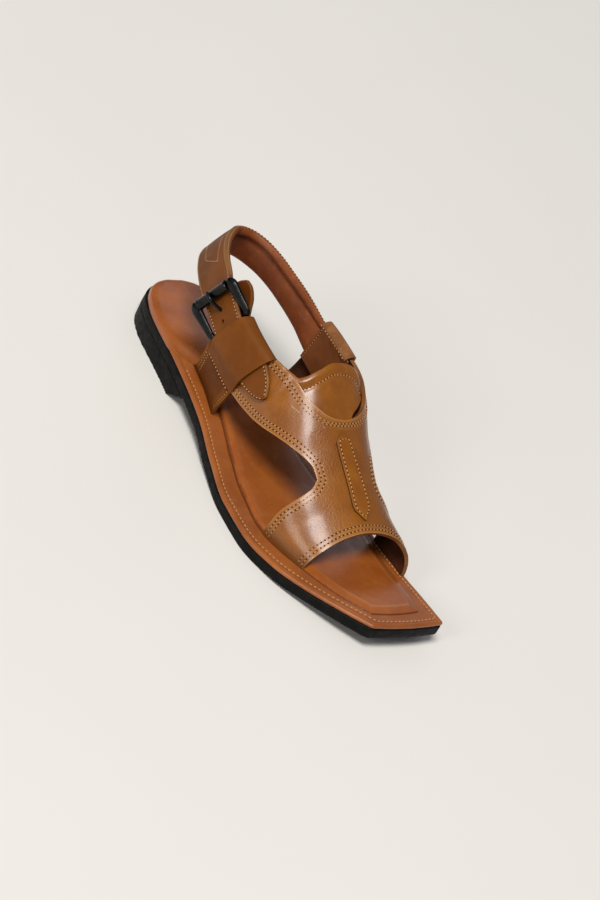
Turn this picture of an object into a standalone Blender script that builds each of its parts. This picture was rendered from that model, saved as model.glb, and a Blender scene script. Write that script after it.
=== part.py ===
"""A peshawari chappal for the right foot: a leather sandal with a rubber sole.

Tables are in millimetres, in the shoe's drafting frame: y runs from the back of the heel (0) to the toe,
x is positive towards the little toe (lateral), and z is the height above the ground. Meshes are in metres.
"""

import bisect
import math
from collections import namedtuple

import bmesh
import bpy
from mathutils import Matrix, Vector

MM = 0.001
GAP = 0.3

# Sole stack, from the ground up.
SOLE_BACK = 2.0
SOLE_LENGTH = 290.0
OUTSOLE_THICKNESS = 6.2
WELT_THICKNESS = 2.9
SOLE_STATION = 11.0
TOE_CORNER = 1.6
TOE_BOW = 1.4
HEEL_CENTRE_Y = 34.0
HEEL_LENGTH = 94.0
HEEL_BREAST_RUN = 13.0
HEEL_TAPER = 0.9
FOOTBED_EDGE_ROUND = 5.0
FOOTBED_EDGE_SHARE = 0.4
HEEL_CUP = 0.6
HEEL_CUP_HALF_WIDTH = 28.0
HEEL_CUP_END_Y = 110.0
WELT_ROUND = 0.8
SHARP_ANGLE = 50

# Rows of the sole's meshes run across it at these shares, from the medial edge (-1) to the lateral (1).
SOLE_SHARES = (-1, -0.5, 0, 0.5, 1)
FOOTBED_SHARES = (-1, -0.95, -0.86, -0.6, -0.25, 0.1, 0.45, 0.72, 0.9, 0.97, 1)

# Upper.
UPPER_WALL = 2.4
FOOT_LIFT = 0.2
TONGUE_WALL = 1.6
STRAP_CROWN = 0.5

# Buckle.
BAR_RADIUS = 2.0
FAR_BAR_SHARE = 0.75
PIVOT_BAR_SHARE = 0.5
FRAME_HALF_WIDTH = 16.2
FRAME_CORNER = 2.6
ROLLER_RADIUS = 3.0
ROLLER_HALF_LENGTH = 13.4
ROLLER_SIDES = 20
FRAME_SHOULDER = 1.6
FRAME_CORNER_STEPS = 5
WIRE_RESOLUTION = 2
PRONG_RADIUS = 0.8
WELD_DISTANCE = 0.00001

LATERAL, MEDIAL = 1, -1

# Half widths of the sole each side of the heel's axis, and how far in from them the footbed stops.
Outline = namedtuple("Outline", "y lateral medial lateral_inset medial_inset")
OUTLINE = [
    Outline(2, 6.0, 6.0, 1.2, 1.2),
    Outline(3, 10.4, 10.2, 1.2, 1.2),
    Outline(5, 15.6, 15.2, 1.2, 1.2),
    Outline(9.5, 21.6, 21.0, 1.2, 1.2),
    Outline(18, 27.2, 26.6, 1.2, 1.2),
    Outline(34, 31.9, 31.0, 1.2, 1.2),
    Outline(62, 34.8, 32.0, 1.8, 1.8),
    Outline(76, 36.2, 31.8, 14.2, 13.0),
    Outline(90, 37.6, 31.3, 14.4, 13.4),
    Outline(120, 41.6, 29.6, 14.4, 13.6),
    Outline(150, 48.2, 30.6, 14.8, 14.2),
    Outline(180, 53.8, 36.4, 15.0, 14.0),
    Outline(205, 55.0, 41.6, 15.8, 10.5),
    Outline(230, 49.6, 42.4, 16.2, 8.6),
    Outline(255, 37.8, 41.8, 11.8, 9.0),
    Outline(275, 25.6, 40.6, 5.6, 10.1),
    Outline(290, 14.6, 39.6, 3.9, 12.6),
]
FOOTBED_FRONT_INSET = 10.0

# Height of the outsole's top, and thickness of the footbed.
Profile = namedtuple("Profile", "y outsole_top footbed")
PROFILE = [
    Profile(0, 18.4, 3.2),
    Profile(60, 18.2, 3.6),
    Profile(90, 16.6, 4.0),
    Profile(116, 14.1, 4.2),
    Profile(150, 9.0, 4.2),
    Profile(180, 6.2, 3.6),
    Profile(214, 6.2, 2.8),
    Profile(235, 7.5, 2.2),
    Profile(250, 9.4, 1.9),
    Profile(270, 12.8, 1.7),
    Profile(290, 16.0, 1.6),
]

# Cross-sections of the form the upper is drawn over, from the ankle to the toe: the ridge, the half width
# each side of it at the welt, how full each side is (2 is an ellipse), and how far the foot is tucked in.
Section = namedtuple("Section", "y ridge_x ridge_z lateral medial lateral_full medial_full tuck")
SECTIONS = [
    Section(60, -2, 134, 36.5, 31.0, 3.0, 3.0, 11.0),
    Section(80, -2, 132, 37.5, 31.5, 3.0, 3.0, 10.0),
    Section(100, -2, 125, 38.5, 32.0, 2.8, 3.0, 8.0),
    Section(120, -2, 112, 39.0, 33.0, 2.6, 3.2, 4.0),
    Section(140, -2, 97, 39.0, 34.5, 2.4, 3.4, 1.0),
    Section(160, -2, 82, 41.0, 36.0, 2.2, 3.2, 0.0),
    Section(176, -2, 70.5, 43.0, 36.5, 2.1, 2.6, 0.0),
    Section(190, -3, 60.5, 45.0, 37.5, 2.0, 2.3, 0.0),
    Section(205, -3, 51.5, 45.5, 38.5, 2.0, 2.3, 0.0),
    Section(220, -4, 43.5, 42.5, 37.5, 1.9, 2.4, 0.0),
    Section(237, -5, 36.8, 37.0, 36.5, 1.75, 2.8, 0.0),
    Section(250, -7, 32.0, 34.0, 33.0, 1.7, 2.8, 0.0),
]
TUCK_HEIGHT = 30.0

# One step of turn, from the ridge to a foot, measured round the form.
TURN_SCALE = 60.0

# The vamp's front edge: how far round the form (1 is the lateral foot, -1 the medial one), and its y.
FRONT_EDGE = [
    (-1.0, 246.5), (-0.6, 241.5), (-0.3, 237.0), (0.0, 235.0), (0.3, 235.5), (0.6, 237.0), (1.0, 238.0),
]

# Edges of each side of the upper, as (y, z) seen from that side.
Side = namedtuple(
    "Side", "cut_front cut_top_front cut_top_rear throat arm_low arm_high arm_end tab_rear tab_front")
SIDES = {
    LATERAL: Side(
        cut_front=[(206.7, 9.6), (206.7, 17), (205.8, 26), (206.2, 36), (205.2, 43), (201.4, 47.6)],
        cut_top_front=[(201.4, 47.6), (195, 50.4), (188.3, 51.6), (181.5, 52), (171, 50.6)],
        cut_top_rear=[(171, 50.6), (157, 46.7), (146, 44), (135, 42.9), (123.5, 42.5)],
        throat=[(176, 70.4), (173, 70.4), (167.6, 71.5), (160.3, 73.2), (150.2, 76.2), (141.5, 77.4),
                (134.5, 77.8), (128, 78)],
        arm_low=[(123.5, 42.5), (112, 43.4), (100, 44.2), (88.5, 44.5)],
        arm_high=[(128, 78.0), (116, 79.4), (108, 80.8), (103.5, 82.4), (100.5, 86.0), (97, 90.8), (91, 95),
                  (84, 95.2)],
        arm_end=[(88.5, 44.5), (88, 56), (81.5, 66), (78, 78), (79.5, 89), (84, 95.2)],
        tab_rear=[(78, 20.6), (83.5, 27), (87, 36), (88.5, 44.5)],
        tab_front=[(116.5, 17.6), (120, 28), (122.6, 36.5), (123.5, 42.5)],
    ),
    MEDIAL: Side(
        cut_front=[(214, 9.7), (213.5, 17), (212, 26), (211, 36), (208.5, 43), (203.5, 47.2)],
        cut_top_front=[(203.5, 47.2), (196, 50.2), (188.3, 51.4), (181.5, 51.6), (171, 50.4)],
        cut_top_rear=[(171, 50.4), (157, 46.7), (146, 44.4), (135, 43.2), (121, 42.8)],
        throat=[(176, 70.4), (173, 70.6), (168.5, 71.6), (160.5, 73.6), (151, 76.0), (142, 77.2), (133, 77.8),
                (126, 78)],
        arm_low=[(121, 42.8), (113, 43.4), (105, 44.4), (97, 45)],
        arm_high=[(126, 78.0), (120, 78.0), (114, 78.2), (110, 78.4), (107, 78.2), (104, 77.0)],
        arm_end=[(97, 45), (98.5, 52), (100, 59), (101.4, 66), (102.6, 72), (104, 77.0)],
        tab_rear=[(91, 20), (94, 28), (96, 36), (97, 45)],
        tab_front=[(118.5, 17.2), (120, 26), (121, 34), (121, 42.8)],
    ),
}

# Where the instep column rises from the forefoot band, on the ridge.
COLUMN_FOOT_Y = 203.0

# Steps along and across each patch of the upper.
LEG_STEPS = (6, 9)
BAND_STEPS = (6, 8)
COLUMN_STEPS = (5, 8)
ARM_STEPS = (10, 8)
REAR_STEPS = (8, 8)
TAB_STEPS = (8, 5)

# Tongue: how far round the form, and the y of its top edge there; then how far round its medial edge lies,
# by the share of the way back along the tongue.
TONGUE_TOP = [
    (-0.5, 152.0), (-0.3, 149.6), (-0.12, 148.6), (-0.02, 148.2), (0.15, 150.6), (0.26, 151.0), (0.36, 149.5),
    (0.42, 145.2), (0.47, 140.5), (0.52, 136.4), (0.56, 135.4),
]
TONGUE_MEDIAL = [(0, 0.1), (0.5, 0.11), (0.63, 0.2), (0.8, 0.35), (0.94, 0.46), (1, 0.5)]
TONGUE_FRONT_Y = 196.0
TONGUE_FRONT_TURN = 0.3
TONGUE_ROOM = 0.8
TONGUE_STEPS = (9, 14)

# The heel strap's outer face, lower and upper edge. First against the inside of the medial arm, as
# (y, z) pairs on the form; then free, as points; then on the lateral side, as (y, z) pairs and a stand-off.
Joined = namedtuple("Joined", "low high stand_off thickness")
STRAP_MEDIAL = [
    Joined((123, 51), (125, 76), -3.0, 2.6),
    Joined((111, 51.8), (112, 77), -3.0, 2.8),
    Joined((98, 53), (99, 78.4), -3.0, 3.2),
]
Free = namedtuple("Free", "low high thickness")
STRAP_LOOP = [
    Free((-33.4, 78, 54.6), (-28.2, 80, 81.8), 3.8),
    Free((-33.0, 62, 56.0), (-26.6, 64, 83.2), 4.2),
    Free((-31.0, 47, 57.5), (-23.8, 48.5, 84.8), 4.2),
    Free((-25.5, 33, 59.0), (-19.0, 36.0, 86.0), 4.2),
    Free((-14.5, 20.5, 60.4), (-11.0, 27.8, 87.0), 4.2),
    Free((1.0, 16.5, 61.4), (-0.5, 26.0, 88.0), 4.2),
    Free((13.0, 23.5, 62.0), (10.5, 33.5, 88.4), 4.2),
    Free((22.5, 36.0, 62.4), (19.5, 43.8, 88.6), 4.0),
    Free((29.5, 49.0, 63.0), (26.5, 55.5, 88.8), 3.6),
    Free((34.4, 60.5, 63.4), (31.6, 67.5, 89.2), 3.0),
]
STRAP_LATERAL = [
    Joined((71.2, 64.0), (77.8, 88.6), 4.0, 2.5),
    Joined((83.6, 62.8), (89.8, 84.6), 5.2, 2.5),
    Joined((97.1, 59.0), (103, 79.8), 5.8, 2.5),
    Joined((111, 55), (116.4, 76.6), 4.2, 2.5),
    Joined((125.4, 53.4), (129.6, 73.6), 3.2, 2.5),
    Joined((136, 53.4), (138.6, 68.6), 2.9, 2.4),
    Joined((142.4, 54.8), (143.6, 64), 2.9, 2.3),
    Joined((146.6, 57.4), (146.8, 60), 2.9, 2.2),
]
STRAP_STATIONS = 66
STRAP_STEP = 0.1

# The prong in the buckle's own plane, from its hook under the pivot bar to the roller; its hole and slot.
HOOK_START = -10
HOOK_STEP = 34
HOOK_POINTS = 6
PRONG_BEND_X = 14.0
PRONG_BEND_Z = -2.5
PRONG_RISE = ((8.4, 1.6), (4.4, -0.5), (1.2, 0.0), (-2.2, -0.3))
PRONG_HOLE_RADIUS = 1.4
PRONG_HOLE_FROM = (16.0, 0.0, -4.0)
PRONG_HOLE_TO = (6.0, 0.0, 3.1)
PRONG_HOLE_SIDES = 16
PRONG_SLOT = (8.0, 2.6, 8.0)

# Keepers: (y, z) of the low seam and of the arm's top edge they turn over, from the rear edge forwards; how
# far off the arm they stand outside, and where their turned-down end lies inside.
Loop = namedtuple("Loop", "low high outside inside")
KEEPERS = {
    LATERAL: [
        Loop((94.2, 53.4), (103.4, 84.2), 6.4, -2.9),
        Loop((104.6, 52.4), (113.6, 81.0), 5.8, -2.9),
        Loop((115.6, 51), (124.2, 79.3), 4.8, -2.9),
        Loop((126.6, 49.8), (133.6, 78.6), 4.0, -2.9),
    ],
    MEDIAL: [
        Loop((98, 51.5), (102.5, 78.5), 0.6, -6.6),
        Loop((107, 50.5), (112.5, 79.0), 0.6, -6.6),
        Loop((116, 49.5), (122.5, 78.9), 0.6, -6.5),
        Loop((125, 48.5), (132, 78.7), 0.6, -6.5),
    ],
}
KEEPER_WALL = 1.6

# A keeper's section, as shares of the way up from the seam: its outer face, then its inner face back again.
# The outside swells a little between the seam and the top.
KEEPER_TURNED_END = 0.64
KEEPER_OUTER_SHARES = (0.0, -0.02, 0.01, 0.25, 0.5, 0.75, 0.94, 1.05, 1.065, 1.03, KEEPER_TURNED_END)
KEEPER_INNER_SHARES = (KEEPER_TURNED_END, 0.99, 1.02, 1.0, 0.93, 0.75, 0.5, 0.25, 0.055, 0.035, 0.05)
KEEPER_SWELL = (0.0, 0.2, 0.3, 0.2, 0.0)

# Buckle bars: middle of each, as (y, z) on the form and a stand-off.
ROLLER_BAR = ((78.0, 76.2), 8.4)
PIVOT_BAR = ((96.4, 69.6), 1.6)

Finish = namedtuple("Finish", "red green blue roughness metallic")
FINISHES = {
    "rubber": Finish(0.012, 0.012, 0.011, 0.75, 0.0),
    "welt_leather": Finish(0.36, 0.12, 0.03, 0.5, 0.0),
    "footbed_leather": Finish(0.33, 0.11, 0.035, 0.45, 0.0),
    "upper_leather": Finish(0.28, 0.10, 0.02, 0.5, 0.0),
    "lining_leather": Finish(0.22, 0.07, 0.02, 0.55, 0.0),
    "gunmetal": Finish(0.03, 0.033, 0.036, 0.25, 1.0),
}


def smooth(pairs):
    """A function through (position, value) pairs that is smooth and never overshoots them."""
    places = [pair[0] for pair in pairs]
    values = [pair[1] for pair in pairs]
    slopes = [(b[1] - a[1]) / (b[0] - a[0]) for a, b in zip(pairs, pairs[1:])]
    tangents = [slopes[0]]
    for before, after in zip(slopes, slopes[1:]):
        tangents.append(2 * before * after / (before + after) if before * after > 0 else 0.0)
    tangents.append(slopes[-1])

    def value(place):
        i = min(max(bisect.bisect_right(places, place) - 1, 0), len(slopes) - 1)
        span = places[i + 1] - places[i]
        t = min(max((place - places[i]) / span, 0.0), 1.0)
        rise = values[i + 1] - values[i]
        bend = span * ((1 - t) * tangents[i] - t * tangents[i + 1]) + (2 * t - 1) * rise
        return values[i] + t * rise + t * (1 - t) * bend

    return value


def column(table, name):
    return smooth([(row.y, getattr(row, name)) for row in table])


OUTSOLE_TOP = column(PROFILE, "outsole_top")
FOOTBED_HEIGHT = column(PROFILE, "footbed")
HALF_WIDTH = {LATERAL: column(OUTLINE, "lateral"), MEDIAL: column(OUTLINE, "medial")}
FOOTBED_INSET = {LATERAL: column(OUTLINE, "lateral_inset"), MEDIAL: column(OUTLINE, "medial_inset")}
RIDGE_X = column(SECTIONS, "ridge_x")
RIDGE_Z = column(SECTIONS, "ridge_z")
REACH = {LATERAL: column(SECTIONS, "lateral"), MEDIAL: column(SECTIONS, "medial")}
FULLNESS = {LATERAL: column(SECTIONS, "lateral_full"), MEDIAL: column(SECTIONS, "medial_full")}
TUCK = column(SECTIONS, "tuck")


def welt_top(y):
    return OUTSOLE_TOP(y) + GAP + WELT_THICKNESS


# ---------------------------------------------------------------- making objects


def material(name):
    made = bpy.data.materials.get(name)
    if made:
        return made
    made = bpy.data.materials.new(name)
    made.use_nodes = True
    finish = FINISHES[name]
    shader = made.node_tree.nodes["Principled BSDF"]
    shader.inputs["Base Color"].default_value = (finish.red, finish.green, finish.blue, 1.0)
    shader.inputs["Roughness"].default_value = finish.roughness
    shader.inputs["Metallic"].default_value = finish.metallic
    return made


def link(obj, finish, collection):
    obj.data.materials.append(material(finish))
    collection.objects.link(obj)
    return obj


def solid(name, points, faces, finish, collection):
    """An object from points in millimetres and faces, its doubled points welded and its normals outwards."""
    mesh = bpy.data.meshes.new(name)
    mesh.from_pydata([Vector(point) * MM for point in points], [], faces)
    shape = bmesh.new()
    shape.from_mesh(mesh)
    bmesh.ops.remove_doubles(shape, verts=shape.verts, dist=WELD_DISTANCE)
    bmesh.ops.recalc_face_normals(shape, faces=shape.faces)
    shape.to_mesh(mesh)
    shape.free()
    mesh.shade_smooth()
    mesh.set_sharp_from_angle(angle=math.radians(35))
    return link(bpy.data.objects.new(name, mesh), finish, collection)


def grid_faces(rows, columns, first=0, flip=False):
    faces = []
    for r in range(rows - 1):
        for c in range(columns - 1):
            a = first + r * columns + c
            face = (a, a + 1, a + columns + 1, a + columns)
            faces.append(face[::-1] if flip else face)
    return faces


def loft(rings):
    """Points and faces over a list of rings of points, each ring closed on itself, with flat ends."""
    size = len(rings[0])
    faces = []
    for r in range(len(rings) - 1):
        for c in range(size):
            a, b = r * size + c, r * size + (c + 1) % size
            faces.append((a, b, b + size, a + size))
    faces.append(tuple(range(size))[::-1])
    faces.append(tuple(range((len(rings) - 1) * size, len(rings) * size)))
    return [point for ring in rings for point in ring], faces


# ---------------------------------------------------------------- sole


def edge_point(side, y, inset):
    """A point of the sole's outline, moved in by inset; the heel's is scaled about the seat's centre."""
    width = HALF_WIDTH[side]
    if y < HEEL_CENTRE_Y:
        share = 1 - inset / (HEEL_CENTRE_Y - SOLE_BACK)
        return side * width(y) * share, HEEL_CENTRE_Y - (HEEL_CENTRE_Y - y) * share
    slope = (width(y + 1) - width(y - 1)) / 2
    corner_run = max(y - (SOLE_LENGTH - TOE_CORNER), 0.0)
    corner = TOE_CORNER - math.sqrt(max(TOE_CORNER**2 - corner_run**2, 0.0))
    return side * (width(y) - corner - inset * math.hypot(1, slope)), y


def stations(first, last):
    """Values of y from first to last, closer together round the heel and at the toe's corners."""
    fine = [SOLE_BACK + step for step in (0, 0.5, 1.5, 3.5, 7, 11, 16, 24, 32)]
    coarse = [HEEL_CENTRE_Y + step * SOLE_STATION for step in range(1, 23)]
    corners = [SOLE_LENGTH - TOE_CORNER * share for share in (1, 0.5, 0.15, 0)]
    return [y for y in fine + coarse + corners if first <= y <= last]


def plan_rows(ys, shares, inset=None, front_inset=0.0):
    """Rows of (x, y) points across the sole; each share runs from the medial edge (-1) to the lateral (1)."""
    rows = []
    for y in ys:
        forward = max(y - HEEL_CENTRE_Y, 0.0) / (SOLE_LENGTH - HEEL_CENTRE_Y)
        medial = edge_point(MEDIAL, y, inset[MEDIAL](y) if inset else 0.0)
        lateral = edge_point(LATERAL, y, inset[LATERAL](y) if inset else 0.0)
        bow = TOE_BOW if y == ys[-1] and y == SOLE_LENGTH else 0.0
        row = []
        for share in shares:
            mix = (share + 1) / 2
            x = medial[0] * (1 - mix) + lateral[0] * mix
            row.append((x, lateral[1] - forward * front_inset + bow * (1 - share**2)))
        rows.append(row)
    return rows


def slab(name, rows, top, bottom, finish, collection, bottom_rows=None):
    """A solid between two surfaces over rows of plan points."""
    columns = len(rows[0])
    upper = [(x, y, top(x, y)) for row in rows for x, y in row]
    lower = [(x, y, bottom(x, y)) for row in (bottom_rows or rows) for x, y in row]
    count = len(upper)
    last = (len(rows) - 1) * columns
    rim = list(range(columns))
    rim += [r * columns + columns - 1 for r in range(1, len(rows))]
    rim += [last + c for c in range(columns - 2, -1, -1)]
    rim += [r * columns for r in range(len(rows) - 2, 0, -1)]
    faces = grid_faces(len(rows), columns) + grid_faces(len(rows), columns, count, flip=True)
    for a, b in zip(rim, rim[1:] + rim[:1]):
        faces.append((b, a, a + count, b + count))
    return solid(name, upper + lower, faces, finish, collection)


def make_outsole(collection):
    rows = plan_rows(stations(SOLE_BACK, SOLE_LENGTH), SOLE_SHARES)
    slab("outsole", rows, lambda x, y: OUTSOLE_TOP(y), lambda x, y: OUTSOLE_TOP(y) - OUTSOLE_THICKNESS,
         "rubber", collection)


def make_heel(collection):
    rows = plan_rows(stations(SOLE_BACK, HEEL_LENGTH) + [HEEL_LENGTH], SOLE_SHARES)
    ground = []
    for row in rows:
        run = HEEL_BREAST_RUN * max((row[0][1] - HEEL_CENTRE_Y) / (HEEL_LENGTH - HEEL_CENTRE_Y), 0) ** 2
        half = abs(row[-1][0])
        shrink = (half - HEEL_TAPER) / half
        ground.append([(x * shrink, y - run) for x, y in row])
    slab("heel", rows, lambda x, y: OUTSOLE_TOP(y) - OUTSOLE_THICKNESS - GAP, lambda x, y: 0.0,
         "rubber", collection, bottom_rows=ground)


def make_welt(collection):
    rows = plan_rows(stations(SOLE_BACK, SOLE_LENGTH), SOLE_SHARES)
    welt = slab("welt", rows, lambda x, y: welt_top(y), lambda x, y: OUTSOLE_TOP(y) + GAP,
                "welt_leather", collection)
    rounded = welt.modifiers.new("rounded edge", "BEVEL")
    rounded.width = WELT_ROUND * MM
    rounded.limit_method = "ANGLE"
    rounded.angle_limit = math.radians(SHARP_ANGLE)


def make_footbed(collection):
    rows = plan_rows(stations(SOLE_BACK, SOLE_LENGTH), FOOTBED_SHARES, FOOTBED_INSET, FOOTBED_FRONT_INSET)
    heel_end, toe_end = rows[0][0][1], rows[-1][0][1]
    edges = {}
    for row in rows:
        for x, y in row:
            side_room = min(abs(x - row[0][0]), abs(x - row[-1][0]))
            edges[x, y] = min(side_room, y - heel_end, max(toe_end - y, 0.0))

    def top(x, y):
        near = 1 - min(edges[x, y] / FOOTBED_EDGE_ROUND, 1.0)
        share = FOOTBED_EDGE_SHARE + (1 - FOOTBED_EDGE_SHARE) * math.sqrt(1 - near**2)
        from_centre = math.hypot(x / HEEL_CUP_HALF_WIDTH, max(0, 1 - y / HEEL_CENTRE_Y))
        cup = HEEL_CUP * max(0, 1 - y / HEEL_CUP_END_Y) * min(from_centre, 1) ** 2
        return welt_top(y) + GAP + (FOOTBED_HEIGHT(y) + cup) * share

    slab("footbed", rows, top, lambda x, y: welt_top(y) + GAP, "footbed_leather", collection)


# ---------------------------------------------------------------- the form of the upper


def form_foot(y):
    return welt_top(y) + GAP + FOOT_LIFT


def on_form(y, turn, stand_off=0.0):
    """A point on the form. turn is 1 at the lateral foot, 0 on the ridge and -1 at the medial foot."""
    side = LATERAL if turn >= 0 else MEDIAL
    angle = (1 - min(abs(turn), 1.0)) * math.pi / 2
    power = 2 / FULLNESS[side](y)
    foot = form_foot(y)
    z = foot + (RIDGE_Z(y) - foot) * math.sin(angle) ** power
    across = REACH[side](y) * max(math.cos(angle), 0.0) ** power
    across -= TUCK(y) * max(0.0, 1 - (z - foot) / TUCK_HEIGHT) ** 2
    point = Vector((RIDGE_X(y) + side * across, y, z))
    return point + form_normal(y, turn) * stand_off if stand_off else point


def form_normal(y, turn):
    step = 0.02
    turn = max(min(turn, 1 - step), step - 1)
    along = on_form(y + 0.5, turn) - on_form(y - 0.5, turn)
    round_it = on_form(y, turn - step) - on_form(y, turn + step)
    return round_it.cross(along).normalized() * -1


def turn_at(side, y, z):
    """How far round the form the height z lies on that side."""
    foot = form_foot(y)
    share = min(max((z - foot) / (RIDGE_Z(y) - foot), 0.0), 1.0)
    return side * (1 - math.asin(share ** (FULLNESS[side](y) / 2)) / (math.pi / 2))


def side_point(side, place, stand_off=0.0):
    y, z = place
    return on_form(y, turn_at(side, y, z), stand_off)


def spline(points):
    """A function of 0 to 1 along a smooth curve through points, at even speed between them."""
    points = [Vector(point) for point in points]
    lengths = [0.0]
    for a, b in zip(points, points[1:]):
        lengths.append(lengths[-1] + (b - a).length)
    axes = [smooth(list(zip(lengths, [point[k] for point in points]))) for k in range(len(points[0]))]
    return lambda t: Vector([axis(t * lengths[-1]) for axis in axes])


def flat(side, places):
    """Edge places (y, z) of one side as a curve over the form's own (y, turn), turn scaled to millimetres."""
    return spline([(y, turn_at(side, y, z) * TURN_SCALE) for y, z in places])


def patch(low, high, start, end, steps, side):
    """A patch of the form inside four edges: low and high run along it, start and end across it."""
    corners = low(0), low(1), high(0), high(1)
    rows, columns = steps
    grid = []
    for r in range(rows + 1):
        u = r / rows
        for c in range(columns + 1):
            v = c / columns
            place = low(u) * (1 - v) + high(u) * v + start(v) * (1 - u) + end(v) * u
            place -= corners[0] * (1 - u) * (1 - v) + corners[1] * u * (1 - v)
            place -= corners[2] * (1 - u) * v + corners[3] * u * v
            grid.append((place[0], place[1] / TURN_SCALE))
    return grid, rows, columns, side


def straight(a, b):
    return lambda t: a.lerp(b, t)


def front_edge(first, last):
    edge = smooth(FRONT_EDGE)
    return lambda t: Vector((edge(first + (last - first) * t), (first + (last - first) * t) * TURN_SCALE))


def upper_patches():
    """The upper's patches on each side: leg, band, column, arm, the arm's rear and the tab."""
    corner = {side: flat(side, SIDES[side].cut_front)(1) for side in SIDES}
    shoulder = {side: flat(side, SIDES[side].cut_top_front)(1) for side in SIDES}
    throat = Vector((SIDES[LATERAL].throat[0][0], 0.0))
    middle = Vector((COLUMN_FOOT_Y, 0.0))
    made = []
    for side, edges in SIDES.items():
        turn = corner[side][1] / TURN_SCALE
        cut_front = flat(side, edges.cut_front)
        front = front_edge(side, turn)
        foot = straight(Vector((smooth(FRONT_EDGE)(side), side * TURN_SCALE)), cut_front(0))
        brow = straight(front(1), corner[side])
        made.append(patch(foot, brow, front, cut_front, LEG_STEPS, side))
        ridge = straight(front_edge(0, 1)(0), middle)
        waist = straight(corner[side], middle)
        made.append(patch(brow, ridge, front_edge(turn, 0), waist, BAND_STEPS, side))
        cut_top = flat(side, edges.cut_top_front)
        instep = straight(shoulder[side], throat)
        made.append(patch(cut_top, straight(middle, throat), waist, instep, COLUMN_STEPS, side))
        arm_low, arm_high = flat(side, edges.cut_top_rear), flat(side, edges.throat)
        hinge = straight(arm_low(1), arm_high(1))
        made.append(patch(arm_low, arm_high, instep, hinge, ARM_STEPS, side))
        rear_low, rear_high = flat(side, edges.arm_low), flat(side, edges.arm_high)
        made.append(patch(rear_low, rear_high, hinge, flat(side, edges.arm_end), REAR_STEPS, side))
        tab_front, tab_rear = flat(side, edges.tab_front), flat(side, edges.tab_rear)
        tab_feet = [Vector((edge[0][0], side * TURN_SCALE)) for edge in (edges.tab_front, edges.tab_rear)]
        tab_foot = straight(*tab_feet)
        made.append(patch(tab_foot, rear_low, tab_front, tab_rear, TAB_STEPS, side))
    return made


def sheet(name, patches, stand_off, wall, finish, collection):
    """A leather sheet over the form: its outer face at stand_off, and its wall inwards from there."""
    points, faces = [], []
    for grid, rows, columns, side in patches:
        first = len(points)
        points += [on_form(y, turn, stand_off) for y, turn in grid]
        faces += grid_faces(rows + 1, columns + 1, first, flip=side == MEDIAL)
    made = solid(name, points, faces, finish, collection)
    face_outwards(made)
    wall_modifier = made.modifiers.new("wall", "SOLIDIFY")
    wall_modifier.thickness = wall * MM
    wall_modifier.offset = -1.0
    wall_modifier.use_even_offset = True
    return made


def face_outwards(obj):
    """Turns an open sheet's faces so that they look up and away from the foot."""
    shape = bmesh.new()
    shape.from_mesh(obj.data)
    upward = sum(face.normal.z * face.calc_area() for face in shape.faces)
    if upward < 0:
        bmesh.ops.reverse_faces(shape, faces=shape.faces)
    shape.to_mesh(obj.data)
    shape.free()


def make_upper(collection):
    return sheet("upper", upper_patches(), 0.0, UPPER_WALL, "upper_leather", collection)


def make_tongue(collection):
    rows, columns = TONGUE_STEPS
    top, medial = smooth(TONGUE_TOP), smooth(TONGUE_MEDIAL)
    widest = TONGUE_TOP[-1][0]
    grid = []
    for r in range(rows + 1):
        back = r / rows
        lateral = TONGUE_FRONT_TURN + (widest - TONGUE_FRONT_TURN) * math.sin(back * math.pi / 2)
        for c in range(columns + 1):
            across = 2 * c / columns - 1
            half, end = (lateral, widest) if across > 0 else (medial(back), medial(1))
            y = TONGUE_FRONT_Y + (top(across * end) - TONGUE_FRONT_Y) * back
            grid.append((y, across * half))
    patches = [(grid, rows, columns, LATERAL)]
    sheet("tongue", patches, -UPPER_WALL - TONGUE_ROOM, TONGUE_WALL, "lining_leather", collection)


# ---------------------------------------------------------------- heel strap and keeper


def joined_row(side, row):
    low, high = (side_point(side, place, row.stand_off) for place in (row.low, row.high))
    return low, high, row.thickness


def strap_rows():
    """(low, high, thickness) of the strap's outer face, from the medial arm round the heel to the tip."""
    rows = [joined_row(MEDIAL, row) for row in STRAP_MEDIAL]
    rows += [(Vector(row.low), Vector(row.high), row.thickness) for row in STRAP_LOOP]
    return rows + [joined_row(LATERAL, row) for row in STRAP_LATERAL]


def catmull(values, place):
    """A value at a fractional index into values, on a smooth curve through them."""
    i = min(int(place), len(values) - 2)
    t = place - i
    before, a, b = values[max(i - 1, 0)], values[i], values[i + 1]
    after = values[min(i + 2, len(values) - 1)]
    bend = 2 * before - 5 * a + 4 * b - after
    twist = 3 * (a - b) + after - before
    return a + 0.5 * t * (b - before + t * (bend + t * twist))


def strap_at(place):
    lows, highs, walls = zip(*strap_rows())
    return catmull(lows, place), catmull(highs, place), catmull(walls, place)


def make_heel_strap(collection):
    last = len(strap_rows()) - 1
    rings = []
    for station in range(STRAP_STATIONS + 1):
        place = last * station / STRAP_STATIONS
        low, high, thickness = strap_at(place)
        before, after = strap_at(max(place - STRAP_STEP, 0)), strap_at(min(place + STRAP_STEP, last))
        along = (after[0] + after[1] - before[0] - before[1]).normalized()
        inwards = (high - low).cross(along).normalized() * thickness
        crown = inwards.normalized() * -STRAP_CROWN
        outer = [low, low.lerp(high, 0.5) + crown, high]
        rings.append(outer + [point + inwards for point in (high, low.lerp(high, 0.5) + crown, low)])
    points, faces = loft(rings)
    return solid("heel_strap", points, faces, "upper_leather", collection)


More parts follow.
